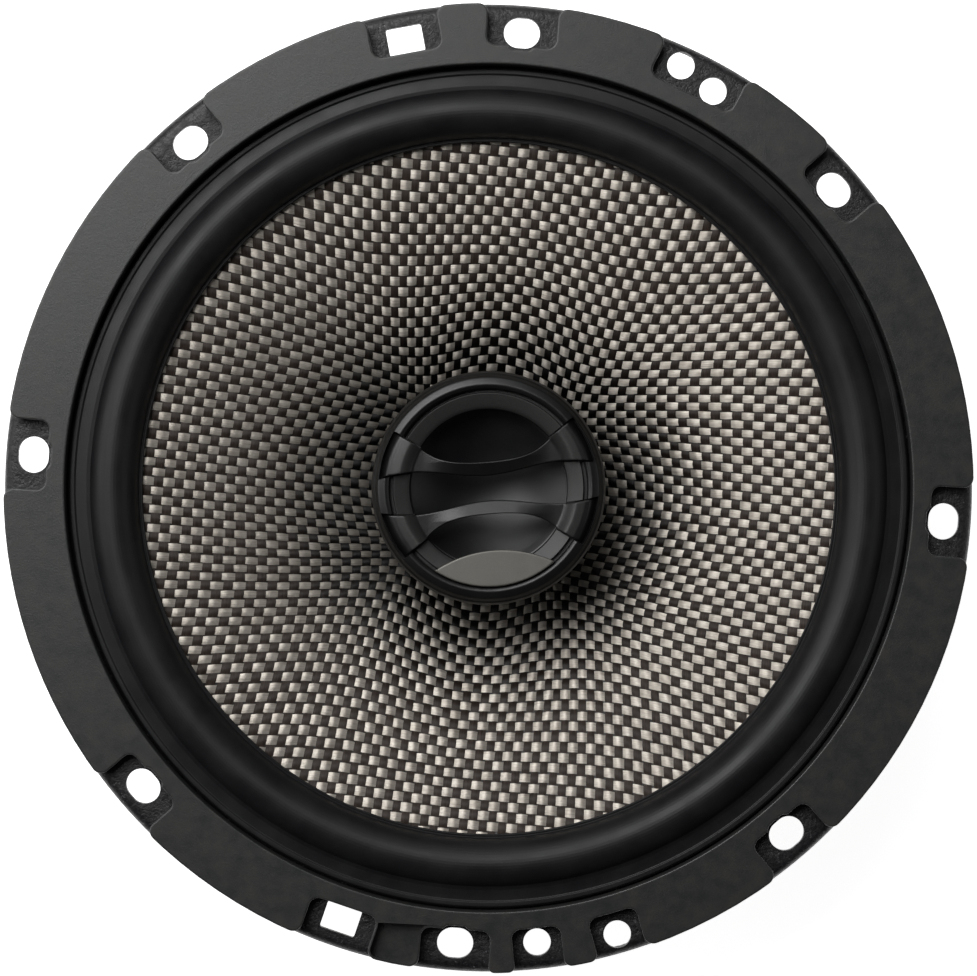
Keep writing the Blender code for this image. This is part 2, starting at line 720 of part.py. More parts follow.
def make_tweeter_grille(look):
    """The grille: a rounded ring, a groove, a sloping inner ring and two bars across it."""
    outline = [
        (GRILLE_RADIUS - 0.85, GRILLE_SKIRT_Z),
        (GRILLE_RADIUS, GRILLE_SKIRT_Z),
        (GRILLE_RADIUS, 63.2),
        (19.2, 64.9),
        (18.3, 65.4),
        (17.2, 64.9),
        (16.7, 63.7),
        (16.3, 64.2),
        (GRILLE_OPENING, 63.0),
        (GRILLE_OPENING, 61.0),
        (15.6, 60.4),
        (15.9, 59.2),
        (GRILLE_RADIUS - 0.85, 59.2),
    ]
    grille = lathe("tweeter_grille", outline, look, LARGE_SIDES)
    bars = bmesh.new()
    blade = bar_outline()
    low, high = BAR_Z
    add_prism(bars, blade, low, high, turned(TWEETER_CLOCKING))
    add_prism(bars, blade, low, high, turned(TWEETER_CLOCKING + 180))
    unite(grille, cutter("grille_bars", bars))


def make_badge(look):
    """The plain lens-shaped plate at the foot of the grille."""
    centre_y = BADGE_TOP - BADGE_ARC_RADIUS
    apart = -centre_y
    # where the outer circle and the upper arc cross
    y = -(BADGE_RADIUS**2 - BADGE_ARC_RADIUS**2 + apart**2) / (2 * apart)
    x = math.sqrt(BADGE_RADIUS**2 - y**2)
    corner = math.degrees(math.atan2(-y, x))
    rise = math.degrees(math.atan2(y - centre_y, x))
    upper = arc(BADGE_ARC_RADIUS, 180 - rise, rise, 12, (0.0, centre_y))
    lower = arc(BADGE_RADIUS, -corner, corner - 180, 12)[1:-1]
    mesh = bmesh.new()
    add_prism(mesh, upper + lower, 0, BADGE_Z[1] - BADGE_Z[0], Matrix.Identity(4))
    badge = finish("tweeter_badge", mesh, look)
    badge.location.z = BADGE_Z[0] * MM
    badge.rotation_euler.z = math.radians(TWEETER_CLOCKING)


def make_axis(name):
    """An empty on the speaker's axis, which carries a moving group."""
    axis = bpy.data.objects.new(name, None)
    axis.empty_display_size = 0.02
    bpy.context.scene.collection.objects.link(axis)
    return axis


def main():
    for old in list(bpy.data.objects):
        bpy.data.objects.remove(old, do_unlink=True)

    steel = material("plated_steel", (0.42, 0.42, 0.40), 0.35, 1.0)
    paint = material("black_paint", (0.018, 0.018, 0.020), 0.5)
    ferrite = material("ferrite", (0.035, 0.035, 0.038), 0.7)
    gasket = material("gasket_rubber", (0.075, 0.077, 0.080), 0.8)
    rubber = material("surround_rubber", (0.016, 0.016, 0.018), 0.45)
    weave = material("woven_glass", (0.42, 0.40, 0.36), 0.45)
    cotton = material("spider_cloth", (0.50, 0.34, 0.14), 0.9)
    film = material("coil_former", (0.55, 0.27, 0.08), 0.4)
    copper = material("copper_wire", (0.72, 0.36, 0.20), 0.3, 1.0)
    board = material("terminal_board", (0.16, 0.09, 0.045), 0.6)
    tin = material("tinned_brass", (0.78, 0.74, 0.62), 0.25, 1.0)
    sleeve = material("capacitor_sleeve", (0.02, 0.035, 0.10), 0.35)
    plastic = material("tweeter_plastic", (0.022, 0.022, 0.023), 0.4)
    nickel = material("nickel", (0.66, 0.64, 0.60), 0.25, 1.0)
    silk = material("dome_silk", (0.014, 0.014, 0.015), 0.5)
    silver = material("badge_silver", (0.42, 0.41, 0.37), 0.45, 0.6)

    make_t_yoke(steel)
    make_magnet(ferrite)
    make_top_plate(steel)
    make_basket(paint)
    make_rivets(steel)
    make_terminals(board, tin, sleeve)
    make_gasket(gasket)

    cone_axis = make_axis("cone_axis")
    make_cone(weave, cone_axis)
    make_voice_coil(film, copper, cone_axis)
    make_surround(rubber)
    make_spider(cotton)

    make_tweeter_fixing(plastic, steel)
    make_tweeter_housing(plastic)
    make_tweeter_motor(steel, nickel)
    dome_axis = make_axis("tweeter_dome_axis")
    make_tweeter_diaphragm(silk, film, copper, dome_axis)
    make_tweeter_grille(plastic)
    make_badge(silver)


main()
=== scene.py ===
"""The looks of a 165 mm coaxial car loudspeaker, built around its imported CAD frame.

The speaker lies on its magnet with its front up, and its axis is Z. Lengths here are in
millimetres and angles in degrees, unless a comment says otherwise; meshes are made in metres.
"""

import math

import bmesh
import bpy
import numpy as np
from mathutils import Matrix, Vector
from mathutils.geometry import tessellate_polygon


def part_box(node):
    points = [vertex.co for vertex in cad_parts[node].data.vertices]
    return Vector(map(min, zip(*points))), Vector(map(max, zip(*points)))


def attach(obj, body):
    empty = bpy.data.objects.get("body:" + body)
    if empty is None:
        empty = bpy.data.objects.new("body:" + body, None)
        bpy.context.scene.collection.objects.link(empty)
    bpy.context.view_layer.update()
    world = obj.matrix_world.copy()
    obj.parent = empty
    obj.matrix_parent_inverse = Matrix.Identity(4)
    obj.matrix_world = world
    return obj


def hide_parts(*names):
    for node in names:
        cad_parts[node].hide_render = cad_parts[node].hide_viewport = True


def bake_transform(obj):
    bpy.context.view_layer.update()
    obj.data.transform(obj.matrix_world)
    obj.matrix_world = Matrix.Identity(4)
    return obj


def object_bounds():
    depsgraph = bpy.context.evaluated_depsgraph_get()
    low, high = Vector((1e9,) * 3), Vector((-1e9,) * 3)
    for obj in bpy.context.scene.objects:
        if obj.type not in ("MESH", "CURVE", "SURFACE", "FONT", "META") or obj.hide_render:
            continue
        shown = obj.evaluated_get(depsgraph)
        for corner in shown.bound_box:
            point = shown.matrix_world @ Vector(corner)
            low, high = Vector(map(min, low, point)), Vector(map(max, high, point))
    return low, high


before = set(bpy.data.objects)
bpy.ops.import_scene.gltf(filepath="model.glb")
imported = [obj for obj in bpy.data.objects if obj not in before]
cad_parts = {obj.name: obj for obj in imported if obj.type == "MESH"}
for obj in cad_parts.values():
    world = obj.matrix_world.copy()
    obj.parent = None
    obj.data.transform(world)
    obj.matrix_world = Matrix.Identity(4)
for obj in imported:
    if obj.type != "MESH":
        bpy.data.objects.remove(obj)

MM = 0.001
CAD_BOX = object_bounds()

# Sides of the large, the middle and the small turned pieces
LARGE = 288
MIDDLE = 192
SMALL = 64

# Basket, with the CAD model's middle line and holes; only its slots are a little larger
BASKET_SHEET = 1.2
SPOKE_FOOT = (41.5, 34.0)
SPOKE_HEAD = (62.0, 48.6)
WINDOW_RADII = (40.0, 65.0)
WINDOW_SPAN = 60.0
WINDOW_ANGLES = (0.0, 90.0, 180.0, 270.0)
SPOKE_ANGLES = (45.0, 135.0, 225.0, 315.0)
SLOT_ANGLES = tuple(45.0 * k for k in range(8))
SLOT_RADIUS = 77.6
SLOT_SIZE = (5.2, 6.15)
SLOT_CORNER = 2.55
SQUARE_ANGLES = (104.7, 255.3)
SQUARE_RADIUS = 77.5
SQUARE_SIZE = (4.7, 6.1)
SQUARE_CORNER = 0.35
ROUND_HOLES = ((69.7, 79.0), (64.7, 77.6), (290.3, 79.0), (280.3, 77.7))
ROUND_DIAMETER = 4.7
SEAT_RIVET_CIRCLE = 24.5
RIVET_RADIUS = 1.5

# Gasket
GASKET_INNER = 71.75
NOTCH_FLOOR = 74.85
SLOT_BITE = 74.25
WIDE_NOTCH = 11.8
NARROW_NOTCH = 8.4

# Cone
CONE_NECK_RADIUS = 13.5
CONE_NECK_Z = 35.5
CONE_RADIUS = 60.2
CONE_DEPTH = 20.5
CONE_STRAIGHTNESS = 0.48

# The cone's cloth: the distances between tows, their widths, the cloth's turn about the axis, and
# the height of a tow's waves and of its crown
TOW_PITCH = (1.668, 1.608)
LIGHT_WIDTH = 1.33
DARK_WIDTH = 1.40
CLOTH_TURN = -1.8
TOW_WAVE = 0.15
TOW_CROWN = 0.15

# Terminals, on the spoke at this angle; their board's rivets are along the spoke
TERMINAL_ANGLE = 315.0
TERMINAL_RADIUS = 51.5
BOARD_RIVETS = (-6.5, 6.5)
BOARD_THICKNESS = 1.6

# Tweeter; the grille's bars widen between two radii, along a slant in radians
TWEETER_TURN = 8.7
BAR_SLANT = math.radians(35)
BAR_WIDENS = 13.6
BAR_REACH = 18.3

# How far the speaker is turned in the picture, and in metres the camera's distance from its
# front and the height that the lamps are aimed at
PICTURE_TURN = 4.2
CAMERA_DISTANCE = 0.55
LIGHT_AIM = 0.06
PICTURE_WIDTH = 165.2
PICTURE_PIXELS = (977, 976)


# ---------------- outlines

def reach(node):
    """A turned CAD node's outer radius and its lowest and highest level."""
    low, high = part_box(node)
    return high.x / MM, low.z / MM, high.z / MM


def soften(points, radius, steps=4, closed=True):
    """Rounds the corners of a line of points. A point's third number is its own corner radius."""
    made = []
    last = len(points) - 1
    for k, point in enumerate(points):
        own = point[2] if len(point) > 2 else radius
        here = np.array(point[:2], float)
        if own <= 0 or (not closed and k in (0, last)):
            made.append(tuple(here))
            continue
        before = np.array(points[k - 1][:2], float) - here
        after = np.array(points[(k + 1) % len(points)][:2], float) - here
        lengths = np.linalg.norm(before), np.linalg.norm(after)
        before /= lengths[0]
        after /= lengths[1]
        half = math.acos(np.clip(before @ after, -1, 1)) / 2
        if half > math.radians(89.5):
            made.append(tuple(here))
            continue
        back = min(own / math.tan(half), 0.49 * min(lengths))
        middle = (before + after) / np.linalg.norm(before + after)
        centre = here + middle * back / math.cos(half)
        start = here + before * back - centre
        end = here + after * back - centre
        first = math.atan2(start[1], start[0])
        sweep = math.atan2(end[1], end[0]) - first
        sweep = (sweep + math.pi) % (2 * math.pi) - math.pi
        size = np.linalg.norm(start)
        for s in range(steps + 1):
            turn = first + sweep * s / steps
            made.append((centre[0] + size * math.cos(turn), centre[1] + size * math.sin(turn)))
    return made


def divided(points, longest):
    """The same open line with no stretch longer than a given length."""
    made = [points[0]]
    for a, b in zip(points, points[1:]):
        count = max(1, math.ceil(math.dist(a, b) / longest))
        made += [tuple(np.array(a) + (np.array(b) - a) * k / count) for k in range(1, count + 1)]
    return made


def sheet(middle, thickness):
    """The closed outline of a sheet about an open middle line."""
    line = np.array([p[:2] for p in middle], float)
    steps = np.diff(line, axis=0)
    steps /= np.linalg.norm(steps, axis=1)[:, None]
    turns = np.stack([-steps[:, 1], steps[:, 0]], axis=1)
    mean = np.vstack([turns[:1], (turns[1:] + turns[:-1]) / 2, turns[-1:]])
    mean /= (mean**2).sum(axis=1)[:, None]
    away = mean * thickness / 2
    return [tuple(p) for p in np.vstack([line + away, (line - away)[::-1]])]


def arc(radius, start, end, steps, centre=(0.0, 0.0)):
    """Points on an arc, from one angle to another."""
    angles = np.radians(np.linspace(start, end, steps + 1))
    return [(centre[0] + radius * math.cos(a), centre[1] + radius * math.sin(a)) for a in angles]


def round_hole(radius):
    """The ring of a small hole."""
    return arc(radius, 0, 345, 23)


def placed(points, angle, radius=0.0):
    """Flat points moved out along X and then turned about the axis."""
    c, s = math.cos(math.radians(angle)), math.sin(math.radians(angle))
    return [(c * (x + radius) - s * y, s * (x + radius) + c * y) for x, y in points]


def offset(ring, distance):
    """A closed ring moved to its left."""
    line = np.array(ring, float)
    steps = np.roll(line, -1, axis=0) - line
    steps /= np.linalg.norm(steps, axis=1)[:, None]
    turns = np.stack([-steps[:, 1], steps[:, 0]], axis=1)
    mean = turns + np.roll(turns, 1, axis=0)
    mean *= 2 / (mean**2).sum(axis=1)[:, None]
    return line + mean * distance


def tube(inner, radius, low, high, corner=0.3):
    """The outline of a plain tube, or of a disc where inner is 0."""
    own = corner if inner else 0
    return soften([(inner, low, own), (radius, low), (radius, high), (inner, high, own)], corner)


def rounded_box(size, corner, steps=6):
    """A box about its own centre, with round corners."""
    x, y = size[0] / 2, size[1] / 2
    return soften([(-x, -y), (x, -y), (x, y), (-x, y)], corner, steps)


# ---------------- meshes
# A mesh is passed on as its points, in millimetres, and its faces, as lists of point numbers.

def add(name, data):
    """A new object in the scene."""
    made = bpy.data.objects.new(name, data)
    bpy.context.scene.collection.objects.link(made)
    return made


def piece(name, mesh, slot=None, node=None, **place):
    """An object from a mesh. One without a slot is bare, to be cut and dressed later."""
    points, faces = mesh
    data = bpy.data.meshes.new(name)
    data.from_pydata((np.asarray(points, float) * MM).tolist(), [], faces)
    shape = bmesh.new()
    shape.from_mesh(data)
    bmesh.ops.recalc_face_normals(shape, faces=shape.faces)
    shape.to_mesh(data)
    shape.free()
    return dress(add(name, data), slot, node, **place)


def dress(made, slot=None, node=None, body="frame", look=None, sharp=35):
    """Shades a piece smooth but for edges over the sharp angle, and gives it its material and body.

    Its material is its slot's own, unless a look names another. A node names the CAD part that it
    hides. A piece without a body here is left without one.
    """
    made.data.shade_smooth()
    made.data.set_sharp_from_angle(angle=math.radians(sharp))
    if slot:
        made.data.materials.clear()
        made.data.materials.append(LOOKS[look or slot])
        if body:
            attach(made, body)
        if node:
            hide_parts(node)
    return made


def moved(mesh, matrix):
    """A mesh in another place."""
    points, faces = mesh
    return [tuple(matrix @ Vector(p)) for p in points], faces


def band(first, count):
    """Faces between a ring of points, numbered from first, and the next ring."""
    here = first + np.arange(count)
    beside = first + np.roll(np.arange(count), -1)
    return np.stack([here, beside, beside + count, here + count], axis=1).tolist()


def banded(count, total):
    """The faces of a bar whose points come in rings of count, with both ends closed."""
    faces = [list(range(count)), list(range(total - count, total))]
    for first in range(0, total - count, count):
        faces += band(first, count)
    return faces


def turned_mesh(outline, sides):
    """A solid turned about Z from a closed (r, z) outline."""
    angles = 2 * np.pi * np.arange(sides) / sides
    points = []
    rings = []
    for r, z in outline:
        if r < 1e-6:
            rings.append(np.full(sides, len(points)))
            points.append((0.0, 0.0, z))
            continue
        rings.append(len(points) + np.arange(sides))
        points += list(zip(r * np.cos(angles), r * np.sin(angles), np.full(sides, z)))
    faces = []
    for low, high in zip(rings, rings[1:] + rings[:1]):
        if low[0] == low[1] and high[0] == high[1]:
            continue
        corners = np.stack([low, np.roll(low, -1), np.roll(high, -1), high], axis=1)
        faces += [list(dict.fromkeys(c)) for c in corners.tolist()]
    return points, faces


def lathe(name, outline, slot=None, node=None, sides=MIDDLE, **place):
    """A piece turned about Z from a closed (r, z) outline."""
    return piece(name, turned_mesh(outline, sides), slot, node, **place)


def slab_mesh(rings, low, high, edge=0.0, steps=4):
    """A flat solid: an outer ring, then holes, with its top edges rounded."""
    layers = [(0.0, low), (0.0, high - edge)]
    if edge:
        turns = [math.pi / 2 * k / steps for k in range(1, steps + 1)]
        layers += [(edge * (1 - math.cos(t)), high - edge * (1 - math.sin(t))) for t in turns]
        layers.append((edge * 1.8, high))
    points = []
    faces = []
    tops = []
    bottoms = []
    for number, ring in enumerate(rings):
        line = np.array(ring, float)
        area = np.sum(line[:, 0] * np.roll(line[:, 1], -1) - np.roll(line[:, 0], -1) * line[:, 1])
        if (area > 0) != (number == 0):
            line = line[::-1]
        count = len(line)
        first = len(points)
        for inward, z in layers:
            points += [(x, y, z) for x, y in offset(line, inward)]
        last = first + (len(layers) - 1) * count
        for level in range(first, last, count):
            faces += band(level, count)
        bottoms.append(first + np.arange(count))
        tops.append(last + np.arange(count))
    for caps in (bottoms, tops):
        numbers = np.concatenate(caps)
        loops = [[Vector(points[n]) for n in cap] for cap in caps]
        faces += [[int(numbers[n]) for n in triangle] for triangle in tessellate_polygon(loops)]
    return points, faces


def cut(target, cutters):
    """Takes meshes away from a piece, with one Boolean."""
    points = []
    faces = []
    for shape_points, shape_faces in cutters:
        faces += [[n + len(points) for n in face] for face in shape_faces]
        points += list(shape_points)
    tool = piece("tool", (points, faces))
    modifier = target.modifiers.new("cut", "BOOLEAN")
    modifier.operation = "DIFFERENCE"
    modifier.solver = "EXACT"
    modifier.object = tool
    graph = bpy.context.evaluated_depsgraph_get()
    result = bpy.data.meshes.new_from_object(target.evaluated_get(graph))
    target.modifiers.clear()
    old = target.data
    target.data = result
    bpy.data.meshes.remove(old)
    bpy.data.objects.remove(tool)


def prism(ring, low, high):
    """A cutter: a plain prism on a flat ring."""
    return slab_mesh([ring], low, high)


def smooth_step(values, start, end):
    """0 before start, 1 after end, and smooth between them."""
    part = np.clip((np.asarray(values, float) - start) / (end - start), 0, 1)
    return part * part * (3 - 2 * part)


def bend_between(made):
    """Bakes a ring's place into its points; nothing here bends it between bodies."""
    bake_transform(made)


# ---------------- materials

LOOKS = {}


class Look:
    """A material as it is built: a Principled shader, and short calls for the nodes before it."""

    def __init__(self, name, colour, roughness, metallic=0.0, **sockets):
        material = bpy.data.materials.new(name)
        material.use_nodes = True
        LOOKS[name] = material
        self.tree = material.node_tree
        self.shader = self.tree.nodes["Principled BSDF"]
        self.normal = None
        self.set("Base Color", (*colour, 1.0))
        self.set("Roughness", roughness)
        self.set("Metallic", metallic)
        for socket, value in sockets.items():
            self.set(socket.replace("_", " "), value)
        self.where = self.node("TexCoord").outputs["Object"]

    def set(self, socket, value):
        """Sets or links one of the shader's sockets."""
        self.fill(self.shader.inputs[socket], value)

    def fill(self, socket, value):
        if isinstance(value, bpy.types.NodeSocket):
            self.tree.links.new(value, socket)
        else:
            socket.default_value = value

    def node(self, kind, inputs=None, **settings):
        made = self.tree.nodes.new("ShaderNode" + kind)
        for key, value in settings.items():
            setattr(made, key, value)
        for key, value in (inputs or {}).items():
            self.fill(made.inputs[key], value)
        return made

    def noise(self, size, detail=3.0, roughness=0.55, stretch=None):
        """Noise whose grains are about size millimetres wide."""
        where = self.where
        if stretch:
            where = self.node("Mapping", {"Vector": where, "Scale": stretch}).outputs[0]
        inputs = {"Vector": where, "Scale": 1 / (size * MM), "Detail": detail, "Roughness": roughness}
        return self.node("TexNoise", inputs).outputs["Fac"]

    def threads(self, how, scale, **inputs):
        """Waves along X and Y, put together into a square weave."""
        inputs.update({"Vector": self.where, "Scale": scale})
        waves = [self.node("TexWave", inputs, bands_direction=axis) for axis in "XY"]
        return self.math(how, *(wave.outputs["Fac"] for wave in waves))

    def attribute(self, name):
        """A number stored at the piece's points."""
        return self.node("Attribute", attribute_name=name).outputs["Fac"]

    def math(self, operation, *values):
        made = self.node("Math", operation=operation)
        for socket, value in zip(made.inputs, values):
            self.fill(socket, value)
        return made.outputs[0]

    def span(self, value, low, high, new_low=0.0, new_high=1.0):
        """Maps low..high to new_low..new_high, held at both ends."""
        inputs = {"Value": value, "From Min": low, "From Max": high}
        inputs.update({"To Min": new_low, "To Max": new_high})
        return self.node("MapRange", inputs, interpolation_type="SMOOTHSTEP").outputs[0]

    def ramp(self, value, *stops):
        """Colours at places from 0 to 1."""
        made = self.node("ValToRGB", {"Fac": value})
        elements = made.color_ramp.elements
        for element, (place, colour) in zip(elements, (stops[0], stops[-1])):
            element.position = place
            element.color = (*colour, 1.0)
        for place, colour in stops[1:-1]:
            elements.new(place).color = (*colour, 1.0)
        return made.outputs["Color"]

    def tones(self, value, dark, light, high=0.7):
        """A ramp between two colours, for a noise."""
        return self.ramp(value, (0.3, dark), (high, light))

    def greys(self, value, dark, light, high=0.7):
        """The same between two greys."""
        return self.tones(value, (dark,) * 3, (light,) * 3, high)

    def mix(self, amount, first, second, how="MIX"):
        """Mixes two colours."""
        made = self.node("Mix", data_type="RGBA", blend_type=how)
        self.fill(made.inputs["Factor"], amount)
        colours = [s for s in made.inputs if s.type == "RGBA"]
        for socket, value in zip(colours, (first, second)):
            self.fill(socket, value if isinstance(value, bpy.types.NodeSocket) else (*value, 1.0))
        return [s for s in made.outputs if s.type == "RGBA"][0]

    def colour(self, value):
        self.set("Base Color", value)

    def roughness(self, field, low, high):
        """Roughness that follows a noise."""
        self.set("Roughness", self.span(field, 0.3, 0.7, low, high))

    def skin(self, marks, dark, light, roughness, depth):
        """A plain skin, whose colour, roughness and relief all follow one noise."""
        self.colour(self.tones(marks, dark, light))
        self.roughness(marks, *roughness)
        self.bump(marks, depth)

    def bump(self, height, depth):
        """Adds relief of a given depth in millimetres."""
        inputs = {"Height": height, "Distance": depth * MM, "Strength": 1.0}
        if self.normal:
            inputs["Normal"] = self.normal
        self.normal = self.node("Bump", inputs).outputs[0]
        self.set("Normal", self.normal)

    def radius(self):
        """Distance from the speaker's axis, in metres."""
        flat = self.node("Mapping", {"Vector": self.where, "Scale": (1, 1, 0)}).outputs[0]
        return self.node("VectorMath", {0: flat}, operation="LENGTH").outputs["Value"]


def painted_steel():
    """Black powder paint: orange peel, fine grain and a few pale specks."""
    look = Look("black_paint", (0.008, 0.008, 0.009), 0.42, Specular_IOR_Level=0.4)
    grain = look.noise(0.35, 4.0)
    peel = look.noise(1.0, 3.0, 0.6)
    tone = look.ramp(grain, (0.35, (0.004, 0.004, 0.005)), (0.70, (0.018, 0.017, 0.019)))
    speck = look.span(look.noise(0.55, 3.0, 0.6), 0.60, 0.70)
    chosen = look.span(look.noise(2.4, 2.0), 0.50, 0.60)
    look.colour(look.mix(look.math("MULTIPLY", speck, chosen), tone, (0.11, 0.105, 0.11)))
    look.roughness(peel, 0.32, 0.50)
    look.bump(peel, 0.12)
    look.bump(grain, 0.07)


def gasket_foam():
    """Dense dark foam rubber: a mottled matt skin with a fine grain."""
    look = Look("gasket_rubber", (0.018, 0.019, 0.018), 0.36, Specular_IOR_Level=0.50)
    mottle = look.noise(2.6, 4.0, 0.6)
    grain = look.noise(0.28, 3.0)
    stops = (0.30, (0.018, 0.020, 0.019)), (0.5, (0.023, 0.024, 0.023)), (0.72, (0.030, 0.028, 0.026))
    look.colour(look.mix(1.0, look.ramp(mottle, *stops), look.greys(grain, 0.80, 1.14, 0.75), "MULTIPLY"))
    look.roughness(mottle, 0.33, 0.39)
    look.bump(look.noise(1.1, 2.0), 0.014)
    look.bump(grain, 0.018)


def surround_rubber():
    """Black butyl rubber with a satin skin and a trace of bloom."""
    look = Look("surround_rubber", (0.009, 0.009, 0.010), 0.44, Specular_IOR_Level=0.30)
    bloom = look.noise(7.0, 4.0, 0.6)
    look.colour(look.tones(bloom, (0.007, 0.007, 0.008), (0.012, 0.012, 0.013), 0.75))
    look.roughness(bloom, 0.40, 0.50)
    look.bump(look.noise(2.2, 2.0), 0.02)
    look.bump(look.noise(0.22, 2.0), 0.012)


def tow(name, tones, roughness, metallic, at_neck, clear, shine):
    """A flat bundle of glass fibres, which shines across its length, with streaks along it.

    The cloth is painted darker towards the neck, as painted shade from the tweeter and the deep neck;
    there at_neck squared is its share of brightness, and from the radius clear outwards it isn't darkened.
    """
    look = Look(name, tones[1], roughness, metallic, Anisotropic=0.97, Specular_IOR_Level=shine)
    tangent = look.node("Tangent", direction_type="UV_MAP", uv_map="fibres")
    look.set("Tangent", tangent.outputs[0])
    across = look.math("MULTIPLY", look.attribute("across"), 9.0)
    along = look.math("MULTIPLY", look.attribute("along"), 0.45)
    where = look.node("CombineXYZ", {0: across, 1: along, 2: look.attribute("number")}).outputs[0]
    fibres = look.node("TexNoise", {"Vector": where, "Scale": 1.0, "Detail": 4.0}).outputs["Fac"]
    streaks = look.ramp(fibres, *zip((0.28, 0.5, 0.75), tones))
    patches = look.tones(look.noise(1.9, 2.0), (0.80, 0.78, 0.76), (1.12, 1.12, 1.12))
    cloth = look.mix(1.0, streaks, patches, "MULTIPLY")
    # painted shade: the cloth darkens towards the neck, where the tweeter and the deep neck shade it
    neck_shade = look.span(look.radius(), 19 * MM, clear * MM, at_neck, 1.0)
    neck_shade = look.math("MULTIPLY", neck_shade, neck_shade)
    shade_grey = look.node("CombineColor", {0: neck_shade, 1: neck_shade, 2: neck_shade}).outputs[0]
    look.colour(look.mix(1.0, cloth, shade_grey, "MULTIPLY"))
    look.roughness(fibres, roughness - 0.06, roughness + 0.10)
    look.bump(fibres, 0.05)


def woven_glass():
    """The pale and the dark tows of the cone."""
    pale = (0.42, 0.38, 0.33), (0.64, 0.595, 0.53), (0.82, 0.775, 0.70)
    # at_neck and clear, the fifth and sixth numbers, set each tow's painted shade towards the neck
    tow("woven_glass_light", pale, 0.44, 0.6, 0.70, 38, 0.5)
    dark = (0.016, 0.011, 0.009), (0.037, 0.028, 0.023), (0.074, 0.057, 0.049)
    tow("woven_glass_dark", dark, 0.50, 0.0, 0.08, 44, 0.28)


def moulded_plastic():
    """Black moulded plastic: polished, but for a dull, spark-eroded band inside the grille's rim, lit by
    painted light.
    """
    look = Look("tweeter_plastic", (0.005, 0.005, 0.005), 0.34, Specular_IOR_Level=0.45)
    grain = look.noise(0.16, 2.0)
    polished = look.greys(look.noise(5.0, 3.0), 0.003, 0.006)
    # painted light: the band's lighter tone stands in for the light it catches; its lower gloss is its own
    # finish
    lit_band_tone = look.tones(grain, (0.016, 0.015, 0.015), (0.030, 0.029, 0.028))
    radius = look.radius()
    begins = look.span(radius, 13.1 * MM, 14.2 * MM)
    ends = look.span(radius, 16.2 * MM, 16.6 * MM, 1.0, 0.0)
    matt_and_lit_band = look.math("MULTIPLY", begins, ends)
    look.colour(look.mix(matt_and_lit_band, polished, lit_band_tone))
    gloss = look.span(grain, 0.3, 0.7, 0.31, 0.39)
    look.set("Roughness", look.math("MULTIPLY_ADD", matt_and_lit_band, 0.10, gloss))
    look.bump(look.noise(1.2, 3.0), 0.012)
    look.bump(grain, 0.008)


def dome_silk():
    """Coated fabric: fine threads under a smooth dark coat."""
    look = Look("dome_silk", (0.004, 0.004, 0.004), 0.38, Specular_IOR_Level=0.45)
    cloth = look.threads("MULTIPLY", 1200.0, Distortion=0.3)
    look.colour(look.tones(look.noise(3.0), (0.003, 0.003, 0.004), (0.006, 0.006, 0.006)))
    look.set("Roughness", look.span(cloth, 0.0, 1.0, 0.35, 0.41))
    look.bump(cloth, 0.004)


def badge_metal():
    """Silver paint with fine flakes and small scuffs."""
    look = Look("badge_silver", (0.34, 0.33, 0.30), 0.42, 0.75)
    flakes = look.noise(0.12, 2.0)
    scuffs = look.noise(2.4, 4.0, 0.7)
    tone = look.tones(flakes, (0.150, 0.147, 0.134), (0.176, 0.170, 0.154))
    look.colour(look.mix(look.span(scuffs, 0.62, 0.80), tone, (0.23, 0.225, 0.205)))
    look.roughness(scuffs, 0.42, 0.54)
    look.bump(flakes, 0.0008)


def plated_steel():
    """Zinc-plated turned steel: fine rings, a warm and cool haze, and small stains."""
    look = Look("plated_steel", (0.30, 0.30, 0.29), 0.36, 1.0)
    rings = look.math("SINE", look.math("MULTIPLY", look.radius(), 2 * math.pi / (0.35 * MM)))
    wobble = look.noise(0.5, 3.0)
    stops = (0.28, (0.25, 0.26, 0.275)), (0.5, (0.31, 0.31, 0.30)), (0.74, (0.35, 0.335, 0.30))
    haze = look.ramp(look.noise(9.0, 4.0, 0.6), *stops)
    stain = look.span(look.noise(3.2, 5.0, 0.7), 0.60, 0.76)
    look.colour(look.mix(stain, haze, (0.22, 0.21, 0.195)))
    look.roughness(wobble, 0.30, 0.50)
    look.bump(rings, 0.003)
    look.bump(wobble, 0.008)


def ferrite():
    """Fired ceramic magnet: charcoal, gritty, with paler grinding traces and small pits."""
    look = Look("ferrite", (0.036, 0.036, 0.039), 0.62)
    grit = look.noise(0.3, 4.0)
    cloud = look.noise(6.0, 4.0, 0.65)
    tone = look.tones(cloud, (0.026, 0.026, 0.029), (0.060, 0.059, 0.060), 0.72)
    cells = look.node("TexVoronoi", {"Vector": look.where, "Scale": 1 / (0.9 * MM)})
    pits = look.span(cells.outputs["Distance"], 0.10, 0.22, 1.0, 0.0)
    look.colour(look.mix(pits, tone, (0.014, 0.014, 0.015)))
    look.roughness(grit, 0.50, 0.74)
    look.bump(pits, -0.03)
    look.bump(grit, 0.04)


def spider_cloth():
    """Resin-stiffened cotton, golden brown, with its square weave."""
    look = Look("spider_cloth", (0.46, 0.28, 0.10), 0.80, Sheen_Weight=0.15)
    cloth = look.threads("MAXIMUM", 420.0, Distortion=0.6, Detail=2.0)
    tone = look.tones(look.noise(8.0), (0.38, 0.21, 0.065), (0.54, 0.34, 0.13))
    gaps = look.ramp(cloth, (0.35, (0.35, 0.30, 0.25)), (0.85, (1.0, 1.0, 1.0)))
    look.colour(look.mix(1.0, tone, gaps, "MULTIPLY"))
    look.set("Roughness", look.span(cloth, 0.2, 0.9, 0.9, 0.7))
    look.bump(cloth, 0.09)


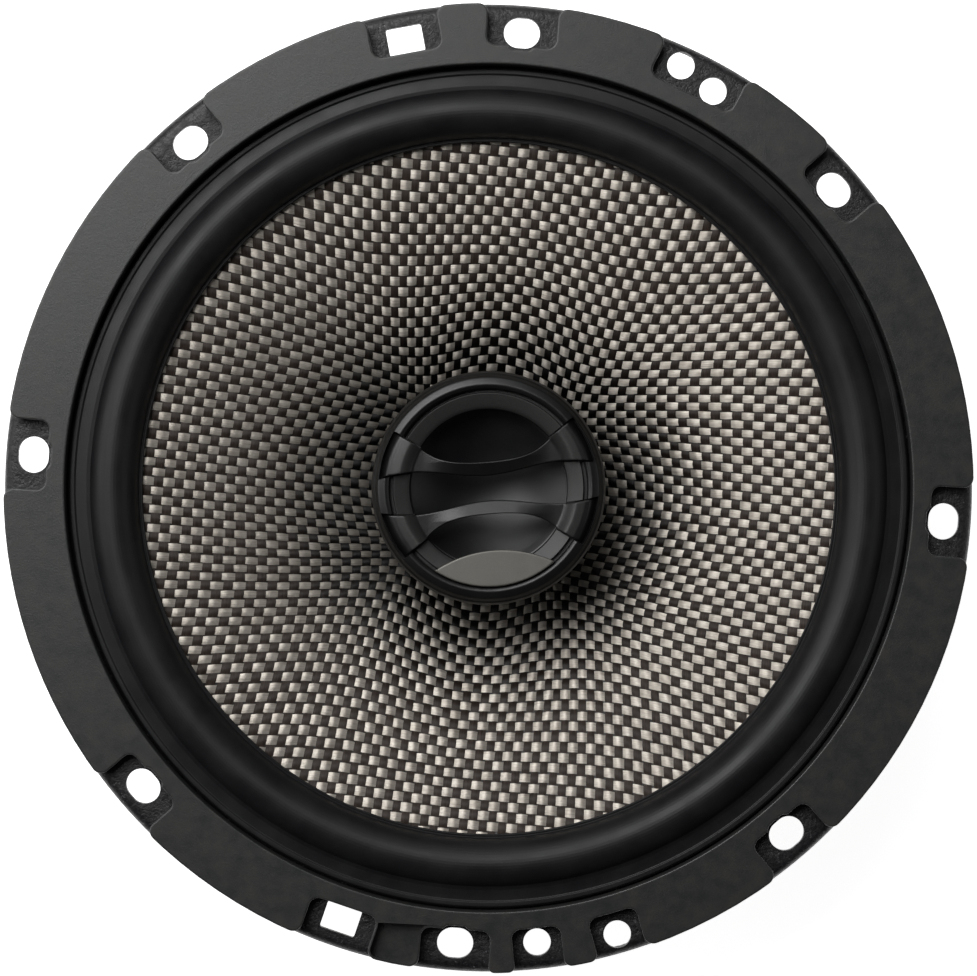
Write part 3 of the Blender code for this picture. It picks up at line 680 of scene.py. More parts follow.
def board_laminate():
    """Brown paper laminate with pale fibres in its resin."""
    look = Look("terminal_board", (0.17, 0.085, 0.035), 0.5)
    fibres = look.noise(0.7, 5.0, 0.7, stretch=(1, 4, 1))
    tone = look.tones(fibres, (0.115, 0.052, 0.020), (0.235, 0.130, 0.058), 0.72)
    look.colour(look.mix(1.0, tone, look.greys(look.noise(4.0), 0.82, 1.1), "MULTIPLY"))
    look.roughness(fibres, 0.42, 0.60)
    look.bump(fibres, 0.02)


def tinned_brass():
    """Tinned sheet brass with drawn streaks; the brass shows through a little."""
    look = Look("tinned_brass", (0.72, 0.70, 0.62), 0.26, 1.0)
    streaks = look.noise(0.8, 4.0, stretch=(1, 1, 6))
    worn = look.span(look.noise(1.8, 4.0, 0.7), 0.58, 0.70)
    tone = look.tones(streaks, (0.58, 0.57, 0.52), (0.80, 0.78, 0.70))
    look.colour(look.mix(worn, tone, (0.66, 0.48, 0.20)))
    look.roughness(streaks, 0.20, 0.38)
    look.bump(streaks, 0.012)


def plain_skins():
    """Skins that need only one noise. The film's and the wire's is drawn out around the coil."""
    look = Look("cone_coat", (0.006, 0.006, 0.007), 0.5)
    look.skin(look.noise(1.6), (0.004, 0.004, 0.005), (0.010, 0.009, 0.009), (0.40, 0.62), 0.12)
    look = Look("coil_former", (0.50, 0.22, 0.05), 0.34)
    marks = look.noise(1.5, stretch=(1, 1, 8))
    look.skin(marks, (0.40, 0.16, 0.035), (0.58, 0.29, 0.08), (0.28, 0.44), 0.015)
    look = Look("copper_wire", (0.66, 0.27, 0.12), 0.28, 1.0, Coat_Weight=0.4)
    marks = look.noise(1.4, stretch=(1, 1, 5))
    look.skin(marks, (0.50, 0.18, 0.075), (0.76, 0.36, 0.18), (0.22, 0.38), 0.01)
    look = Look("capacitor_sleeve", (0.012, 0.022, 0.075), 0.28)
    look.skin(look.noise(2.0), (0.008, 0.016, 0.060), (0.020, 0.034, 0.105), (0.22, 0.38), 0.03)
    look = Look("nickel", (0.62, 0.59, 0.54), 0.26, 1.0)
    look.skin(look.noise(1.2, 4.0), (0.54, 0.52, 0.48), (0.68, 0.65, 0.60), (0.20, 0.38), 0.006)
    look = Look("black_cement", (0.010, 0.010, 0.010), 0.35)
    look.skin(look.noise(1.3), (0.006, 0.006, 0.006), (0.018, 0.017, 0.016), (0.25, 0.5), 0.12)


painted_steel()
gasket_foam()
surround_rubber()
woven_glass()
moulded_plastic()
dome_silk()
badge_metal()
plated_steel()
ferrite()
spider_cloth()
board_laminate()
tinned_brass()
plain_skins()


# ---------------- basket and gasket

def spoke_place(along, across, out):
    """A place on the terminal spoke: along its slope, across it, and square to it."""
    slope = math.atan2(SPOKE_HEAD[1] - SPOKE_FOOT[1], SPOKE_HEAD[0] - SPOKE_FOOT[0])
    height = SPOKE_FOOT[1] + (TERMINAL_RADIUS - SPOKE_FOOT[0]) * math.tan(slope)
    spoke = Matrix.Rotation(math.radians(TERMINAL_ANGLE), 4, "Z")
    spoke = spoke @ Matrix.Translation((TERMINAL_RADIUS, 0, height))
    spoke = spoke @ Matrix.Rotation(-slope, 4, "Y")
    return spoke @ Matrix.Translation((along, across, out))


def press_beads(mesh):
    """Presses two stiffening beads up into each spoke of the basket."""
    points, faces = mesh
    co = np.array(points)
    radii = np.hypot(co[:, 0], co[:, 1])
    angles = np.degrees(np.arctan2(co[:, 1], co[:, 0]))
    starts, ends = (42.5, 46.0), (58.0, 61.5)
    height, from_middle = 1.1, 7.2
    lengthwise = smooth_step(radii, *starts) * (1 - smooth_step(radii, *ends))
    for spoke in SPOKE_ANGLES:
        apart = (angles - spoke + 180) % 360 - 180
        across = radii * np.sin(np.radians(np.clip(apart, -90, 90)))
        crosswise = 1 - smooth_step(np.abs(np.abs(across) - from_middle), 0.6, 2.8)
        co[:, 2] += height * lengthwise * crosswise * (np.abs(apart) < 20)
    return co, faces


def make_basket():
    """The pressed frame: seat, spider shelf, spokes with beads, ledge, flange and its rolled rim."""
    radius, _, top = reach("basket")
    seat = reach("top_plate")[2] + 0.3 + BASKET_SHEET / 2
    flange = top - BASKET_SHEET / 2
    rim = radius - BASKET_SHEET / 2
    shelf, ledge = 31.4, 56.4
    middle = [(15.0, seat), (29.5, seat, 1.2), (33.0, shelf, 1.2), (38.4, shelf, 1.5)]
    middle += [SPOKE_FOOT, SPOKE_HEAD, (66.6, 53.4, 2.0), (68.0, ledge, 0.9), (71.6, ledge, 0.8)]
    middle += [(72.9, flange, 0.8), (rim, flange, 1.1), (rim, flange - 2.2)]
    line = divided(soften(middle, 1.5, 4, closed=False), 1.3)
    basket = piece("basket_pressing", press_beads(turned_mesh(sheet(line, BASKET_SHEET), LARGE)))

    inner, outer = WINDOW_RADII
    half = WINDOW_SPAN / 2
    window = []
    for side, bend, corner in (
        (arc(outer, -half, half, 6), 55.0, 4.5),
        (arc(inner, half, -half, 4), 40.0, 3.5),
    ):
        sizes = [corner] + [bend] * (len(side) - 2) + [corner]
        window += [(*p, size) for p, size in zip(side, sizes)]
    window = soften(window, 0, 8)
    cutters = [prism(placed(window, angle), 28.0, 60.0) for angle in WINDOW_ANGLES]
    slot = rounded_box(SLOT_SIZE, SLOT_CORNER, 12)
    square = rounded_box(SQUARE_SIZE, SQUARE_CORNER, 3)
    circle = arc(ROUND_DIAMETER / 2, 0, 360 - 7.5, 47)
    holes = [placed(slot, angle, SLOT_RADIUS) for angle in SLOT_ANGLES]
    holes += [placed(square, angle, SQUARE_RADIUS) for angle in SQUARE_ANGLES]
    holes += [placed(circle, angle, distance) for angle, distance in ROUND_HOLES]
    cutters += [prism(ring, flange - 4, flange + 4) for ring in holes]
    hole = round_hole(RIVET_RADIUS + 0.2)
    for angle in SPOKE_ANGLES:
        cutters.append(prism(placed(hole, angle, SEAT_RIVET_CIRCLE), seat - 2, seat + 2))
    cutters += [moved(prism(hole, -3, 3), spoke_place(along, 0, 0)) for along in BOARD_RIVETS]
    cut(basket, cutters)
    dress(basket, "black_paint", "basket", sharp=40)


def gasket_ring(radius):
    """The gasket's outer line: the flange's circle with a round-cornered notch at every hole.

    A slot bites a little into its notch's floor, so that it shows whole from the front.
    """
    pair = (ROUND_HOLES[0][0] + ROUND_HOLES[1][0]) / 2
    pair_width = NARROW_NOTCH + math.radians(ROUND_HOLES[0][0] - ROUND_HOLES[1][0]) * SLOT_RADIUS
    notches = [(angle, WIDE_NOTCH) for angle in SLOT_ANGLES + SQUARE_ANGLES]
    notches += [(angle, NARROW_NOTCH) for angle, _ in ROUND_HOLES[2:]]
    notches.append((pair, pair_width))
    notches.sort()
    ring = []
    for number, (angle, width) in enumerate(notches):
        half = width / 2
        shoulder = math.sqrt(radius**2 - half**2)
        corners = [(shoulder, -half), (NOTCH_FLOOR, -half), (NOTCH_FLOOR, half), (shoulder, half)]
        sizes = [1.7, 1.6, 1.6, 1.7]
        if angle in SLOT_ANGLES:
            corners[2:2] = [(NOTCH_FLOOR, -2.2), (SLOT_BITE, -1.5), (SLOT_BITE, 1.5), (NOTCH_FLOOR, 2.2)]
            sizes[2:2] = [0.3, 1.0, 1.0, 0.3]
        ring += [(*p, size) for p, size in zip(placed(corners, angle), sizes)]
        after, after_width = notches[(number + 1) % len(notches)]
        start = angle + math.degrees(math.asin(half / radius))
        end = after + 360 * (after < angle) - math.degrees(math.asin(after_width / 2 / radius))
        steps = max(2, math.floor((end - start) / 2.6))
        ring += [(*p, 0.0) for p in arc(radius, start, end, steps)[1:-1]]
    return soften(ring, 0, 7)


def make_gasket():
    """The soft front ring."""
    _, low, high = reach("front_gasket")
    outer = gasket_ring(reach("basket")[0] - 0.4)
    inner = arc(GASKET_INNER, 0, 360 - 360 / LARGE, LARGE - 1)
    piece("gasket_foam", slab_mesh([outer, inner], low, high, 0.22), "gasket_rubber", "front_gasket")


# ---------------- cone, surround, spider, coil

def cone_height(radius):
    """The cone's middle line: steep at the neck, flatter at the edge."""
    part = (radius - CONE_NECK_RADIUS) / (CONE_RADIUS - CONE_NECK_RADIUS)
    bend = CONE_STRAIGHTNESS * part + (1 - CONE_STRAIGHTNESS) * (1 - (1 - part) ** 2)
    return CONE_NECK_Z + CONE_DEPTH * bend


def cloth_to_cone(u, v):
    """Where a point of the flat cloth comes to lie on the cone, seen from the front.

    Drawn over the cone, the cloth spreads towards the edge, and shears on its diagonals. It keeps
    its size at one radius, and doesn't shear at the one where it was clamped.
    """
    kept, growth, fade = 25.5, 1.075, 0.00211
    clamped, shear = 67.0, 0.176
    x, y = u.copy(), v.copy()
    for _ in range(40):
        r = np.maximum(np.hypot(x, y), 1e-3)
        grown = kept + growth * (r - kept) - fade * (r - kept) ** 2
        diagonal = (2 * x * y / r**2) ** 2
        stretch = np.maximum(grown, 1.0) / r * (r / clamped) ** (-shear * diagonal)
        x, y = u / stretch, v / stretch
    turn = math.radians(CLOTH_TURN)
    return x * math.cos(turn) - y * math.sin(turn), x * math.sin(turn) + y * math.cos(turn)


def weave_tows(name, look, lengthwise, width, phase):
    """All tows of one direction, each a crowned ribbon that rides over and under the others."""
    own, other = TOW_PITCH[1 - lengthwise], TOW_PITCH[lengthwise]
    count = math.ceil(64 / own)
    steps = 5
    half = math.ceil(66 / other) * steps
    along = np.arange(-half, half + 1) * other / steps
    sides = np.linspace(-1, 1, 5)
    rng = np.random.default_rng(11 + lengthwise)
    points = []
    faces = []
    stored = {"across": [], "along": [], "number": []}
    inner, outer = CONE_NECK_RADIUS + 0.1, CONE_RADIUS - 0.15
    for k in range(-count, count + 1):
        lean = rng.normal(0, 0.035)
        wide = width * (1 + rng.normal(0, 0.03))
        t, s = np.meshgrid(along, sides, indexing="ij")
        ripple = 0.03 * np.sin(2 * np.pi * (t / 7.3 + rng.random()))
        on_top = np.cos(np.pi * (t / other + k + phase))
        # a tow spreads where it lies on top and narrows where the next one presses it down
        spread = wide * (1 + 0.05 * on_top)
        c = k * own + lean + ripple + s * spread / 2
        u, v = (c, t) if lengthwise else (t, c)
        x, y = cloth_to_cone(u, v)
        r = np.hypot(x, y)
        keep = (r > inner) & (r < outer)
        fit = np.clip(r, inner, outer) / np.maximum(r, 1e-6)
        x, y, r = x * fit, y * fit, np.clip(r, inner, outer)
        lift = TOW_WAVE * on_top + TOW_CROWN * (1 - np.abs(s) ** 2.4) - 0.02
        slope = (cone_height(r + 0.05) - cone_height(r - 0.05)) / 0.1
        norm = np.sqrt(1 + slope**2)
        x, y = x - x / r * slope / norm * lift, y - y / r * slope / norm * lift
        z = cone_height(r) + lift / norm
        grid = np.arange(t.size).reshape(t.shape) + len(points)
        touch = keep[:-1, :-1] | keep[1:, :-1] | keep[:-1, 1:] | keep[1:, 1:]
        quads = np.stack([grid[:-1, :-1], grid[1:, :-1], grid[1:, 1:], grid[:-1, 1:]], axis=-1)
        faces += quads[touch].tolist()
        points += np.stack([x.ravel(), y.ravel(), z.ravel()], axis=1).tolist()
        stored["across"] += s.ravel().tolist()
        stored["along"] += (t.ravel() + 3.7 * k).tolist()
        stored["number"] += [k * 7.31] * t.size
    used = np.unique(np.array(faces))
    new = np.full(len(points), -1)
    new[used] = np.arange(len(used))
    data = bpy.data.meshes.new(name)
    data.from_pydata((np.array(points)[used] * MM).tolist(), [], new[np.array(faces)].tolist())
    layer = data.uv_layers.new(name="fibres")
    corner = np.zeros(len(data.loops), np.int32)
    data.loops.foreach_get("vertex_index", corner)
    flat = np.stack([stored["across"], stored["along"]], axis=1)[used][corner]
    layer.data.foreach_set("uv", flat.astype(np.float32).ravel())
    for key, values in stored.items():
        attribute = data.attributes.new(key, "FLOAT", "POINT")
        attribute.data.foreach_set("value", np.array(values, np.float32)[used])
    if data.polygons[0].normal.z < 0:
        data.flip_normals()
    dress(add(name, data), "woven_glass", "cone", "cone_assembly", look, 70)


def make_cone():
    """The woven cone: light and dark tows over a thin black coat, and a collar at the neck."""
    weave_tows("cone_light_tows", "woven_glass_light", 0, LIGHT_WIDTH, 0)
    weave_tows("cone_dark_tows", "woven_glass_dark", 1, DARK_WIDTH, 1)
    middle = [(CONE_NECK_RADIUS, reach("cone")[1] + 0.1), (CONE_NECK_RADIUS, CONE_NECK_Z - 0.6)]
    middle += [(r, cone_height(r) - 0.24) for r in np.linspace(CONE_NECK_RADIUS, CONE_RADIUS, 60)]
    outline = sheet(divided(soften(middle, 0.6, 4, closed=False), 1.6), 0.3)
    lathe("cone_coat", outline, "woven_glass", "cone", LARGE, body="cone_assembly", look="cone_coat")


def half_roll(inner, outer, base, height, steps):
    """Points on the arch of a half roll."""
    centre, half = (inner + outer) / 2, (outer - inner) / 2
    turns = [math.pi * (1 - k / steps) for k in range(steps + 1)]
    return [(centre + half * math.cos(a), base + height * math.sin(a)) for a in turns]


def roll_shell(roll, away):
    """A roll's line moved square to itself."""
    line = np.array(roll)
    steps = np.gradient(line, axis=0)
    steps /= np.linalg.norm(steps, axis=1)[:, None]
    return [tuple(p) for p in line + np.stack([-steps[:, 1], steps[:, 0]], axis=1) * away]


def cement(name, outline, corner, sides=MIDDLE, body="cone_assembly", look="black_cement"):
    """A bead of black rubber cement."""
    lathe(name, soften(outline, corner), "surround_rubber", None, sides, body=body, look=look)


def make_surround():
    """The rubber surround: a lip cemented on the cone, a half roll, and a rim with a fine ridge."""
    rim, rim_low, lip, thick = 71.5, 57.3, 57.05, 0.35
    roll = half_roll(60.0, 68.0, lip, reach("surround")[2] - thick - lip, 28)
    outline = [(59.0, lip - 0.05), (59.15, lip + 0.30)]
    outline += [(r, z) for r, z in roll_shell(roll, thick) if r < 64 or z > 59.4]
    outline += [(68.35, 59.2, 0.5), (70.2, 58.8, 0.2), (70.45, 59.02, 0.15), (71.15, 58.98, 0.3)]
    outline += [(rim, 58.5, 0.1), (rim, rim_low + 0.2), (71.2, rim_low), (68.9, rim_low), (68.2, rim_low)]
    outline += roll_shell(roll[:-3], -thick)[::-1]
    outline += [(59.1, lip - thick)]
    shape = soften(outline, 0.12, 3)
    made = lathe("surround_rubber", shape, "surround_rubber", "surround", LARGE, body=None, sharp=50)
    bend_between(made)
    cement("lip_cement", [(59.3, 55.9), (60.6, 56.1), (60.7, 56.85), (59.3, 56.8)], 0.2, LARGE, look=None)


def make_spider():
    """The corrugated disc, with its collar and the cement that holds it on the former."""
    radius, low, _ = reach("spider")
    level, start, end, waves = 32.55, 14.8, 32.0, 5
    radii = np.linspace(start, end, 121)
    part = (radii - start) / (end - start)
    hold = smooth_step(part, 0, 0.09) * (1 - smooth_step(part, 0.91, 1))
    heights = level + 0.9 * np.cos(np.pi * 2 * waves * part) * hold
    middle = [(13.3, low + 0.1), (13.3, level - 0.3), (13.6, level)]
    middle += list(zip(radii, heights)) + [(radius, level)]
    outline = sheet(divided(middle, 1.2), 0.5)
    made = lathe("spider_cloth", outline, "spider_cloth", "spider", body=None, sharp=60)
    bend_between(made)
    cement("spider_cement", [(12.75, 33.0), (14.3, 33.0), (12.75, 34.2)], 0.3)
    cement("neck_cement", [(12.75, 36.0), (14.6, 36.3), (13.9, 37.4), (12.75, 37.3)], 0.4)


def make_coil(cad, name, inner, body, wire):
    """A film former, and a winding whose turns of round wire can be counted."""
    radius, low, high = reach(cad + "_former")
    film = tube(inner, radius, low, high, 0.08)
    lathe(name + "_film", film, "coil_former", cad + "_former", body=body)
    outer, low, high = reach(cad + "_winding")
    turns = round((high - low) / wire)
    depth = (high - low) / turns / 2
    outline = [(radius + 0.3, high), (radius + 0.3, low)]
    for turn in range(turns):
        outline += arc(depth, -80, 80, 6, (outer - depth, low + depth * (2 * turn + 1)))
    lathe(name + "_turns", outline, "copper_wire", cad + "_winding", body=body, sharp=80)


# ---------------- magnet system and fixings

def make_magnet_system():
    """The yoke with its pole, the ferrite ring and the front plate."""
    radius, low, _ = reach("t_yoke")
    yoke = [(7.0, low, 0.3), (19.0, low, 0.1), (19.4, low + 0.3, 0.1), (21.0, low + 0.3, 0.1)]
    yoke += [(21.4, low, 0.1), (radius, low, 1.0), (radius, low + 5.0, 0.5), (12.0, low + 5.0, 0.8)]
    yoke += [(12.0, 25.0, 0.9), (4.2, 25.0, 0.4), (4.2, 4.0, 0.2), (7.0, 4.0, 0.3)]
    lathe("yoke_and_pole", soften(yoke, 0.3), "plated_steel", "t_yoke", LARGE)

    _, low, high = reach("ferrite_magnet")
    ring = [(17.0, low, 0.5), (38.0, low, 1.4), (38.0, high, 1.4), (17.0, high, 0.5)]
    lathe("ferrite_ring", soften(ring, 0.5, 5), "ferrite", "ferrite_magnet", LARGE)
    for name, level, gap in (("lower", low, -0.3), ("upper", high, 0.3)):
        seam = [(33.5, level), (34.6, level), (34.6, level + gap), (33.5, level + gap)]
        cement("magnet_cement_" + name, seam, 0.1, LARGE, "frame")

    radius, low, high = reach("top_plate")
    plate = [(13.9, low, 0.3), (radius, low, 0.5), (radius, high, 0.9), (13.9, high, 0.3)]
    made = lathe("front_plate", soften(plate, 0.3), sides=LARGE)
    hole = round_hole(RIVET_RADIUS + 0.15)
    holes = [placed(hole, angle, SEAT_RIVET_CIRCLE) for angle in SPOKE_ANGLES]
    cut(made, [prism(seat_hole, low - 1, high + 1) for seat_hole in holes])
    dress(made, "plated_steel", "top_plate")


def rivet(name, low, high, tail_head, place, node):
    """A rivet with a domed head at its top, and a second one at its tail where it needs one."""
    dome = arc(2.9, 90 - 55, 90, 6, (0.0, high - 2.9))
    tail = [(RIVET_RADIUS, low)]
    if tail_head:
        tail += [(2.2, low + 0.4), (2.4, low + 0.9), (RIVET_RADIUS, low + 0.9)]
    outline = [(0.0, low), *tail, (RIVET_RADIUS, high - 1.2), (2.3, high - 1.2), *dome]
    piece(name, moved(turned_mesh(outline, SMALL), place), "plated_steel", node)


def make_fixings():
    """Rivets, and the bolt and washer that hold the tweeter's post from behind."""
    for number in (1, 2, 3, 4):
        node = f"basket_rivet_{number}"
        low, high = (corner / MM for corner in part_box(node))
        place = Matrix.Translation(((low.x + high.x) / 2, (low.y + high.y) / 2, 0))
        rivet(f"seat_rivet_{number}", low.z, high.z, False, place, node)
    low = -(BASKET_SHEET / 2 + BOARD_THICKNESS + 0.6) - 0.9
    for number, along in enumerate(BOARD_RIVETS, 1):
        name, node = f"board_rivet_{number}", f"terminal_rivet_{number}"
        rivet(name, low, BASKET_SHEET / 2 + 1.2, True, spoke_place(along, 0, 0), node)

    _, low, high = reach("tweeter_bolt")
    bolt = [(0, low), (2.2, low, 1.0), (3.5, low + 0.9, 0.8), (3.5, low + 2.1, 0.2), (1.9, low + 2.1)]
    pitch = 0.7
    for k in range(int((high - 0.6 - (low + 2.6)) / pitch)):
        z = low + 2.6 + k * pitch
        bolt += [(1.9, z, 0.05), (1.9, z + 0.1, 0.05), (1.62, z + 0.35, 0.05), (1.62, z + 0.45, 0.05)]
    bolt += [(1.6, high - 0.3, 0.1), (1.3, high, 0.1), (0, high, 0)]
    made = lathe("post_bolt", soften(bolt, 0, 2), sides=SMALL)
    blade = rounded_box((4.2, 0.9), 0.3, 3)
    for turn in (20, 110):
        cut(made, [prism(placed(blade, turn), low - 1, low + 1.3)])
    dress(made, "plated_steel", "tweeter_bolt")
    lathe("post_washer", tube(2.2, *reach("tweeter_washer"), 0.2), "plated_steel", "tweeter_washer", SMALL)


def strip_mesh(path, width, thickness, taper):
    """A bent strip of sheet metal: its middle line, its width, and how its tip narrows."""
    line = np.array(path)
    steps = np.gradient(line, axis=0)
    steps /= np.linalg.norm(steps, axis=1)[:, None]
    normals = np.stack([-steps[:, 1], steps[:, 0]], axis=1)
    lengths = np.concatenate([[0], np.cumsum(np.linalg.norm(np.diff(line, axis=0), axis=1))])
    left = lengths[-1] - lengths
    ring = [(-1, -1), (1, -1), (1, 1), (-1, 1)]
    section = soften([(a * width / 2, b * thickness / 2) for a, b in ring], 0.12, 2)
    points = []
    for k, (x, z) in enumerate(line):
        narrow = 1 - taper * (1 - min(left[k] / 1.6, 1.0))
        thin = 1 - 0.55 * (1 - min(left[k] / 0.9, 1.0))
        for across, out in section:
            nx, nz = normals[k] * out * thin
            points.append((x + nx, across * narrow, z + nz))
    return points, banded(len(section), len(points))


def make_terminals():
    """The laminate board, its two blades, and the tweeter's capacitor with its two leads."""
    half = BOARD_THICKNESS / 2
    board_z = -(BASKET_SHEET / 2 + 0.3 + half)
    hole = round_hole(RIVET_RADIUS + 0.15)
    rings = [rounded_box((18.0, 26.0), 1.6)] + [placed(hole, 0, along) for along in BOARD_RIVETS]
    board = moved(slab_mesh(rings, -half, half, 0.15), spoke_place(0, 0, board_z))
    piece("terminal_laminate", board, "terminal_board", "terminal_board")

    foot_z = board_z - 1.1
    lying = Matrix.Rotation(math.radians(90), 4, "Y")
    path = divided(soften([(0.1, -0.4), (4.6, -0.4, 0.8), (4.6, -8.5)], 0.8, 8, closed=False), 0.5)
    eye = prism(placed(round_hole(0.65), 0, 6.2), 3, 6)
    for node, name, width, across in (
        ("terminal_positive", "blade_wide", 4.8, 5.2),
        ("terminal_negative", "blade_narrow", 2.8, 10.8),
    ):
        place = spoke_place(2.5, across, foot_z)
        made = piece(name, moved(strip_mesh(path, width, 0.8, 0.35), place))
        cut(made, [moved(eye, place @ lying)])
        dress(made, "tinned_brass", node)

    end, level = 12.0, foot_z - 4.0
    can = [(0, 0.35, 0), (2.9, 0.35, 0.2), (3.1, 0.0, 0.2), (3.9, 0.0, 0.6), (3.9, 1.4, 0.4)]
    can += [(3.55, 1.9, 0.4), (3.9, 2.4, 0.4), (4.0, end, 0.7), (3.2, end, 0.15)]
    can += [(3.0, end - 0.35, 0.1), (0, end - 0.35, 0)]
    can = moved(turned_mesh(soften(can, 0.2), SMALL), spoke_place(-end / 2, -8, level) @ lying)
    piece("capacitor_can", can, "capacitor_sleeve", "crossover_capacitor")
    bend = divided(soften([(-5.4, 0.0), (-7.6, 0.0, 1.0), (-7.6, 5.2)], 1.0, 8, closed=False), 0.5)
    for number, across in enumerate((-9.7, -6.3), 1):
        lead = moved(strip_mesh(bend, 0.7, 0.7, 0.0), spoke_place(0, across, level))
        piece(f"capacitor_lead_{number}", lead, "tinned_brass")


# ---------------- tweeter

def make_tweeter_body():
    """The post, the housing and the motor inside it."""
    _, low, high = reach("tweeter_post")
    post = [(2.2, low, 0.1), (10.5, low, 0.3), (10.5, low + 2.0, 0.5), (7.0, low + 5.0, 1.5)]
    post += [(7.0, high - 2.0, 1.2), (9.0, high, 0.3), (0.0, high, 0), (0.0, 38.0, 0), (2.2, 38.0, 0.1)]
    lathe("mounting_post", soften(post, 0.3), "tweeter_plastic", "tweeter_post")

    radius, low, high = reach("tweeter_housing")
    inner, groove = radius - 1.5, radius - 0.35
    cup = [(0.0, low, 0), (15.2, low, 0.9), (radius, 49.0, 1.4), (radius, 52.0, 0.1), (groove, 52.2, 0.1)]
    cup += [(groove, 52.8, 0.1), (radius, 53.0, 0.1), (radius, high, 0.3), (inner, high, 0.3)]
    cup += [(inner, 50.2, 0.8), (15.6, 48.7, 0.5), (15.6, low + 1.5, 0.3), (0.0, low + 1.5, 0)]
    lathe("tweeter_cup", soften(cup, 0.3), "tweeter_plastic", "tweeter_housing")

    radius, low, high = reach("tweeter_yoke_cup")
    cup = [(0, low, 0), (radius, low, 0.8), (radius, high, 0.3), (radius - 1.5, high, 0.3)]
    cup += [(radius - 1.5, low + 1.5, 0.5), (0, low + 1.5, 0)]
    lathe("motor_cup", soften(cup, 0.3), "plated_steel", "tweeter_yoke_cup")
    lathe("motor_magnet", tube(0, *reach("tweeter_magnet")), "nickel", "tweeter_magnet")
    lathe("motor_plate", tube(0, *reach("tweeter_top_plate")), "plated_steel", "tweeter_top_plate")


def make_diaphragm():
    """The inverted dome, and the edge that carries its slope on and rolls over outside it."""
    body = "tweeter_dome_assembly"
    radius, _, high = reach("tweeter_dome")
    depth = 3.2
    ball = (radius**2 + depth**2) / (2 * depth)
    rim = high - 0.2
    centre = rim - depth + ball
    turns = np.linspace(math.asin(radius / ball), 0, 40)
    front, back = (
        [(size * math.sin(t), centre - size * math.cos(t)) for t in turns[:-1]] + [(0.0, centre - size)]
        for size in (ball - 0.2, ball + 0.2)
    )
    lathe("dome_diaphragm", front + back[::-1], "dome_silk", "tweeter_dome", body=body)
    roll = [(12.15, rim + 0.24), (13.2, rim + 0.84, 0.5), (14.1, rim + 1.05, 0.5)]
    roll += [(15.0, rim + 0.9, 0.5), (15.6, rim, 0.4), (16.8, rim)]
    outline = sheet(divided(soften(roll, 0.3, closed=False), 0.6), 0.24)
    made = lathe("dome_roll", outline, "dome_silk", "tweeter_surround", body=None, sharp=60)
    bend_between(made)


def bar_top(x, y):
    """The bars' upper surface: it faces the grille's middle, and its ends rise to a sloping rim."""
    r = np.hypot(x, y)
    waist = 63.25 + 0.36 * np.minimum(np.abs(y), 5.0)
    blade = waist + (64.1 - waist) * smooth_step(np.abs(x), 4, 11)
    ends = 1.3 * smooth_step(r, 13.0, 15.1) - 0.30 * smooth_step(r, 14.9, 17.3)
    return blade + ends - 1.4 * smooth_step(r, 17.0, 18.7)


def bar_edges(x):
    """The lower and the upper edge of the upper bar at x."""
    lower = 2.1 + 0.75 * (1 - math.cos(math.pi * x / 13.0))
    far = abs(x)
    if far < BAR_WIDENS * math.cos(BAR_SLANT):
        upper = 4.4 + 0.0085 * x**2 + 0.00015 * x**4
    elif far < BAR_REACH * math.cos(BAR_SLANT):
        upper = far * math.tan(BAR_SLANT)
    else:
        upper = math.sqrt(max(BAR_REACH**2 - x**2, 0.0))
    return lower, max(upper, lower)


def bar_tip():
    """How far a bar's lower edge reaches from the middle."""
    tip = 18.0
    for _ in range(30):
        tip = math.sqrt(BAR_REACH**2 - bar_edges(tip)[0] ** 2)
    return tip


def with_corners(columns, *radii):
    """A bar's columns, and those where its upper edge turns, at these distances on the slant."""
    corners = [side * r * math.cos(BAR_SLANT) for r in radii for side in (-1, 1)]
    return np.sort(np.concatenate([columns, corners]))


def bar_pocket(turn, gap):
    """A cutter a little wider than a bar, which leaves a fine dark joint around its ends."""
    columns = with_corners(np.linspace(-bar_tip(), bar_tip(), 121), BAR_WIDENS)
    edges = [bar_edges(x) for x in columns]
    lower = [(x, low) for x, (low, _) in zip(columns, edges)]
    upper = [(x, high) for x, (low, high) in zip(columns, edges) if high > low + 0.2]
    return prism(placed(offset(lower + upper[::-1], -gap), turn), 62.7, 67.0)


def make_bar(name, turn):
    """One bar of the grille: a waisted blade that widens into the ring at both ends."""
    columns = np.sin(np.linspace(-math.pi / 2, math.pi / 2, 241)) * (bar_tip() - 0.02)
    edge = 0.2
    margins = edge * (1 - np.cos(np.linspace(0, math.pi / 2, 5)))
    points = []
    for x in with_corners(columns, BAR_WIDENS, BAR_REACH):
        lower, upper = bar_edges(x)
        inset = margins * min(1.0, (upper - lower) / (3 * edge))
        inner = np.linspace(lower + inset[-1], upper - inset[-1], 30)[1:-1]
        ys = np.concatenate([lower + inset, inner, (upper - inset)[::-1]])
        near = np.minimum(ys - lower, upper - ys)
        drop = edge - np.sqrt(np.maximum(edge**2 - np.maximum(edge - near, 0) ** 2, 0))
        zs = bar_top(np.full(len(ys), x), ys) - drop
        points += [(x, y, z) for y, z in zip(ys, zs)]
        foot = 63.1 - 0.7 * smooth_step(math.hypot(x, lower), 13.2, 13.8)
        points += [(x, ys[-1], foot), (x, ys[0], foot)]
    place = Matrix.Rotation(math.radians(turn), 4, "Z")
    mesh = moved((points, banded(len(ys) + 2, len(points))), place)
    piece(name, mesh, "tweeter_plastic", "tweeter_grille", sharp=50)


